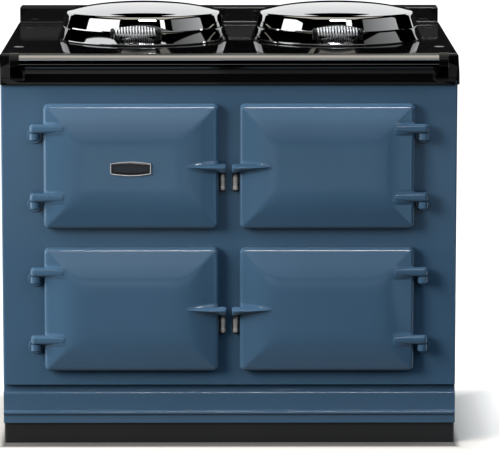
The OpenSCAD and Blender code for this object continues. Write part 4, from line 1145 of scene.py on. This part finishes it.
def black_tent():
    """A tent of black cloth, open to the back and at the floor, with a cloth on the floor."""
    mesh = bmesh.new()
    bmesh.ops.create_cube(mesh, size=1.0)
    bmesh.ops.scale(mesh, verts=mesh.verts, vec=TENT)
    bmesh.ops.translate(mesh, verts=mesh.verts, vec=TENT_MIDDLE)
    middles = {face: face.calc_center_median() for face in mesh.faces}
    open_sides = [face for face, middle in middles.items() if middle.y > 4 or middle.z < 0.1]
    bmesh.ops.delete(mesh, geom=open_sides, context="FACES_ONLY")
    stage_piece(mesh, "Black tent", glow("Black cloth", 0.0).material)
    cloth = glow("Dark floor cloth", 1.0)
    cloth.set(Emission_Strength=cloth.ramp(cloth.along(1) * -1.0, *CLOTH_STOPS))
    stage_piece(sheet(CLOTH, Matrix.Translation(CLOTH_MIDDLE)), "Dark floor cloth", cloth.material)


def plate_flag():
    """A dark card behind the cooker that the top plate reflects."""
    flag = glow("Plate flag", 1.0)
    flag.set(Emission_Strength=flag.ramp(abs(flag.along(0)), *FLAG_STOPS))
    upright = Matrix.Translation(FLAG_MIDDLE) @ Matrix.Rotation(math.pi / 2, 4, "X")
    stage_piece(sheet(FLAG, upright), "Plate flag", flag.material)


class COOKER_OT_studio(bpy.types.Operator):
    """Set up the pale floor, the lamps, the cards and the camera"""

    bl_idname = "cooker.studio"
    bl_label = "Studio"

    def execute(self, context):
        scene = context.scene
        stage = scene.cooker_stage
        paper_floor()
        black_tent()
        plate_flag()
        for make, table in ((facing_card, CARDS), (upright_card, UPRIGHTS), (strip_card, STRIPS),
                            (lamp, LAMPS)):
            for name, values in table.items():
                make(name, *values)

        scene.world = bpy.data.worlds.new("Studio")
        room = Tree(scene.world)
        background = room.tree.nodes["Background"]
        seen = room.seen()
        room.feed(background.inputs["Color"], room.blend(seen, stage.sky, (1, 1, 1)))
        room.feed(background.inputs["Strength"], seen * (1 - stage.daylight) + stage.daylight)

        camera = bpy.data.cameras.new("Camera")
        camera.sensor_width, camera.lens = 36.0, stage.lens
        camera.shift_x, camera.shift_y = CAMERA_SHIFT
        camera.clip_start, camera.clip_end = 0.1, 100.0
        holder = bpy.data.objects.new("Camera", camera)
        holder.location = (CAMERA_X, -stage.distance, stage.eye)
        holder.rotation_euler = (math.pi / 2 - stage.tilt, 0, CAMERA_TURN)
        scene.collection.objects.link(holder)
        scene.camera = holder
        scene.view_settings.view_transform = "Standard"
        return {"FINISHED"}


# ---- the add-on ----


class COOKER_PT_panel(bpy.types.Panel):
    """The cooker's pieces, in the 3D view's sidebar"""

    bl_label = "Range cooker"
    bl_idname = "COOKER_PT_panel"
    bl_space_type = "VIEW_3D"
    bl_region_type = "UI"
    bl_category = "Cooker"

    def draw(self, context):
        for group in ("cooker_doors", "cooker_lids", "cooker_colours", "cooker_stage"):
            box = self.layout.box()
            settings = getattr(context.scene, group)
            for key in settings.__annotations__:
                box.prop(settings, key, text=key.replace("_", " ").capitalize())
        for operator in OPERATORS:
            self.layout.operator(operator.bl_idname)


GROUPS = {"cooker_doors": CookerDoorSizes, "cooker_lids": CookerLidSizes,
          "cooker_colours": CookerColours, "cooker_stage": CookerStage}
OPERATORS = (COOKER_OT_castings, COOKER_OT_doors, COOKER_OT_lids, COOKER_OT_grips,
             COOKER_OT_plate, COOKER_OT_rollers, COOKER_OT_studio)


def register():
    for group in (*GROUPS.values(), *OPERATORS, COOKER_PT_panel):
        bpy.utils.register_class(group)
    for name, group in GROUPS.items():
        setattr(bpy.types.Scene, name, PointerProperty(type=group))


def unregister():
    for name in GROUPS:
        delattr(bpy.types.Scene, name)
    for group in (COOKER_PT_panel, *reversed(OPERATORS), *GROUPS.values()):
        bpy.utils.unregister_class(group)


def main():
    register()
    mix_finishes()
    bpy.ops.cooker.castings()
    bpy.ops.cooker.doors()
    bpy.ops.cooker.lids()
    bpy.ops.cooker.grips()
    bpy.ops.cooker.plate()
    bpy.ops.cooker.rollers()
    bpy.ops.cooker.studio()


if __name__ == "__main__":
    main()
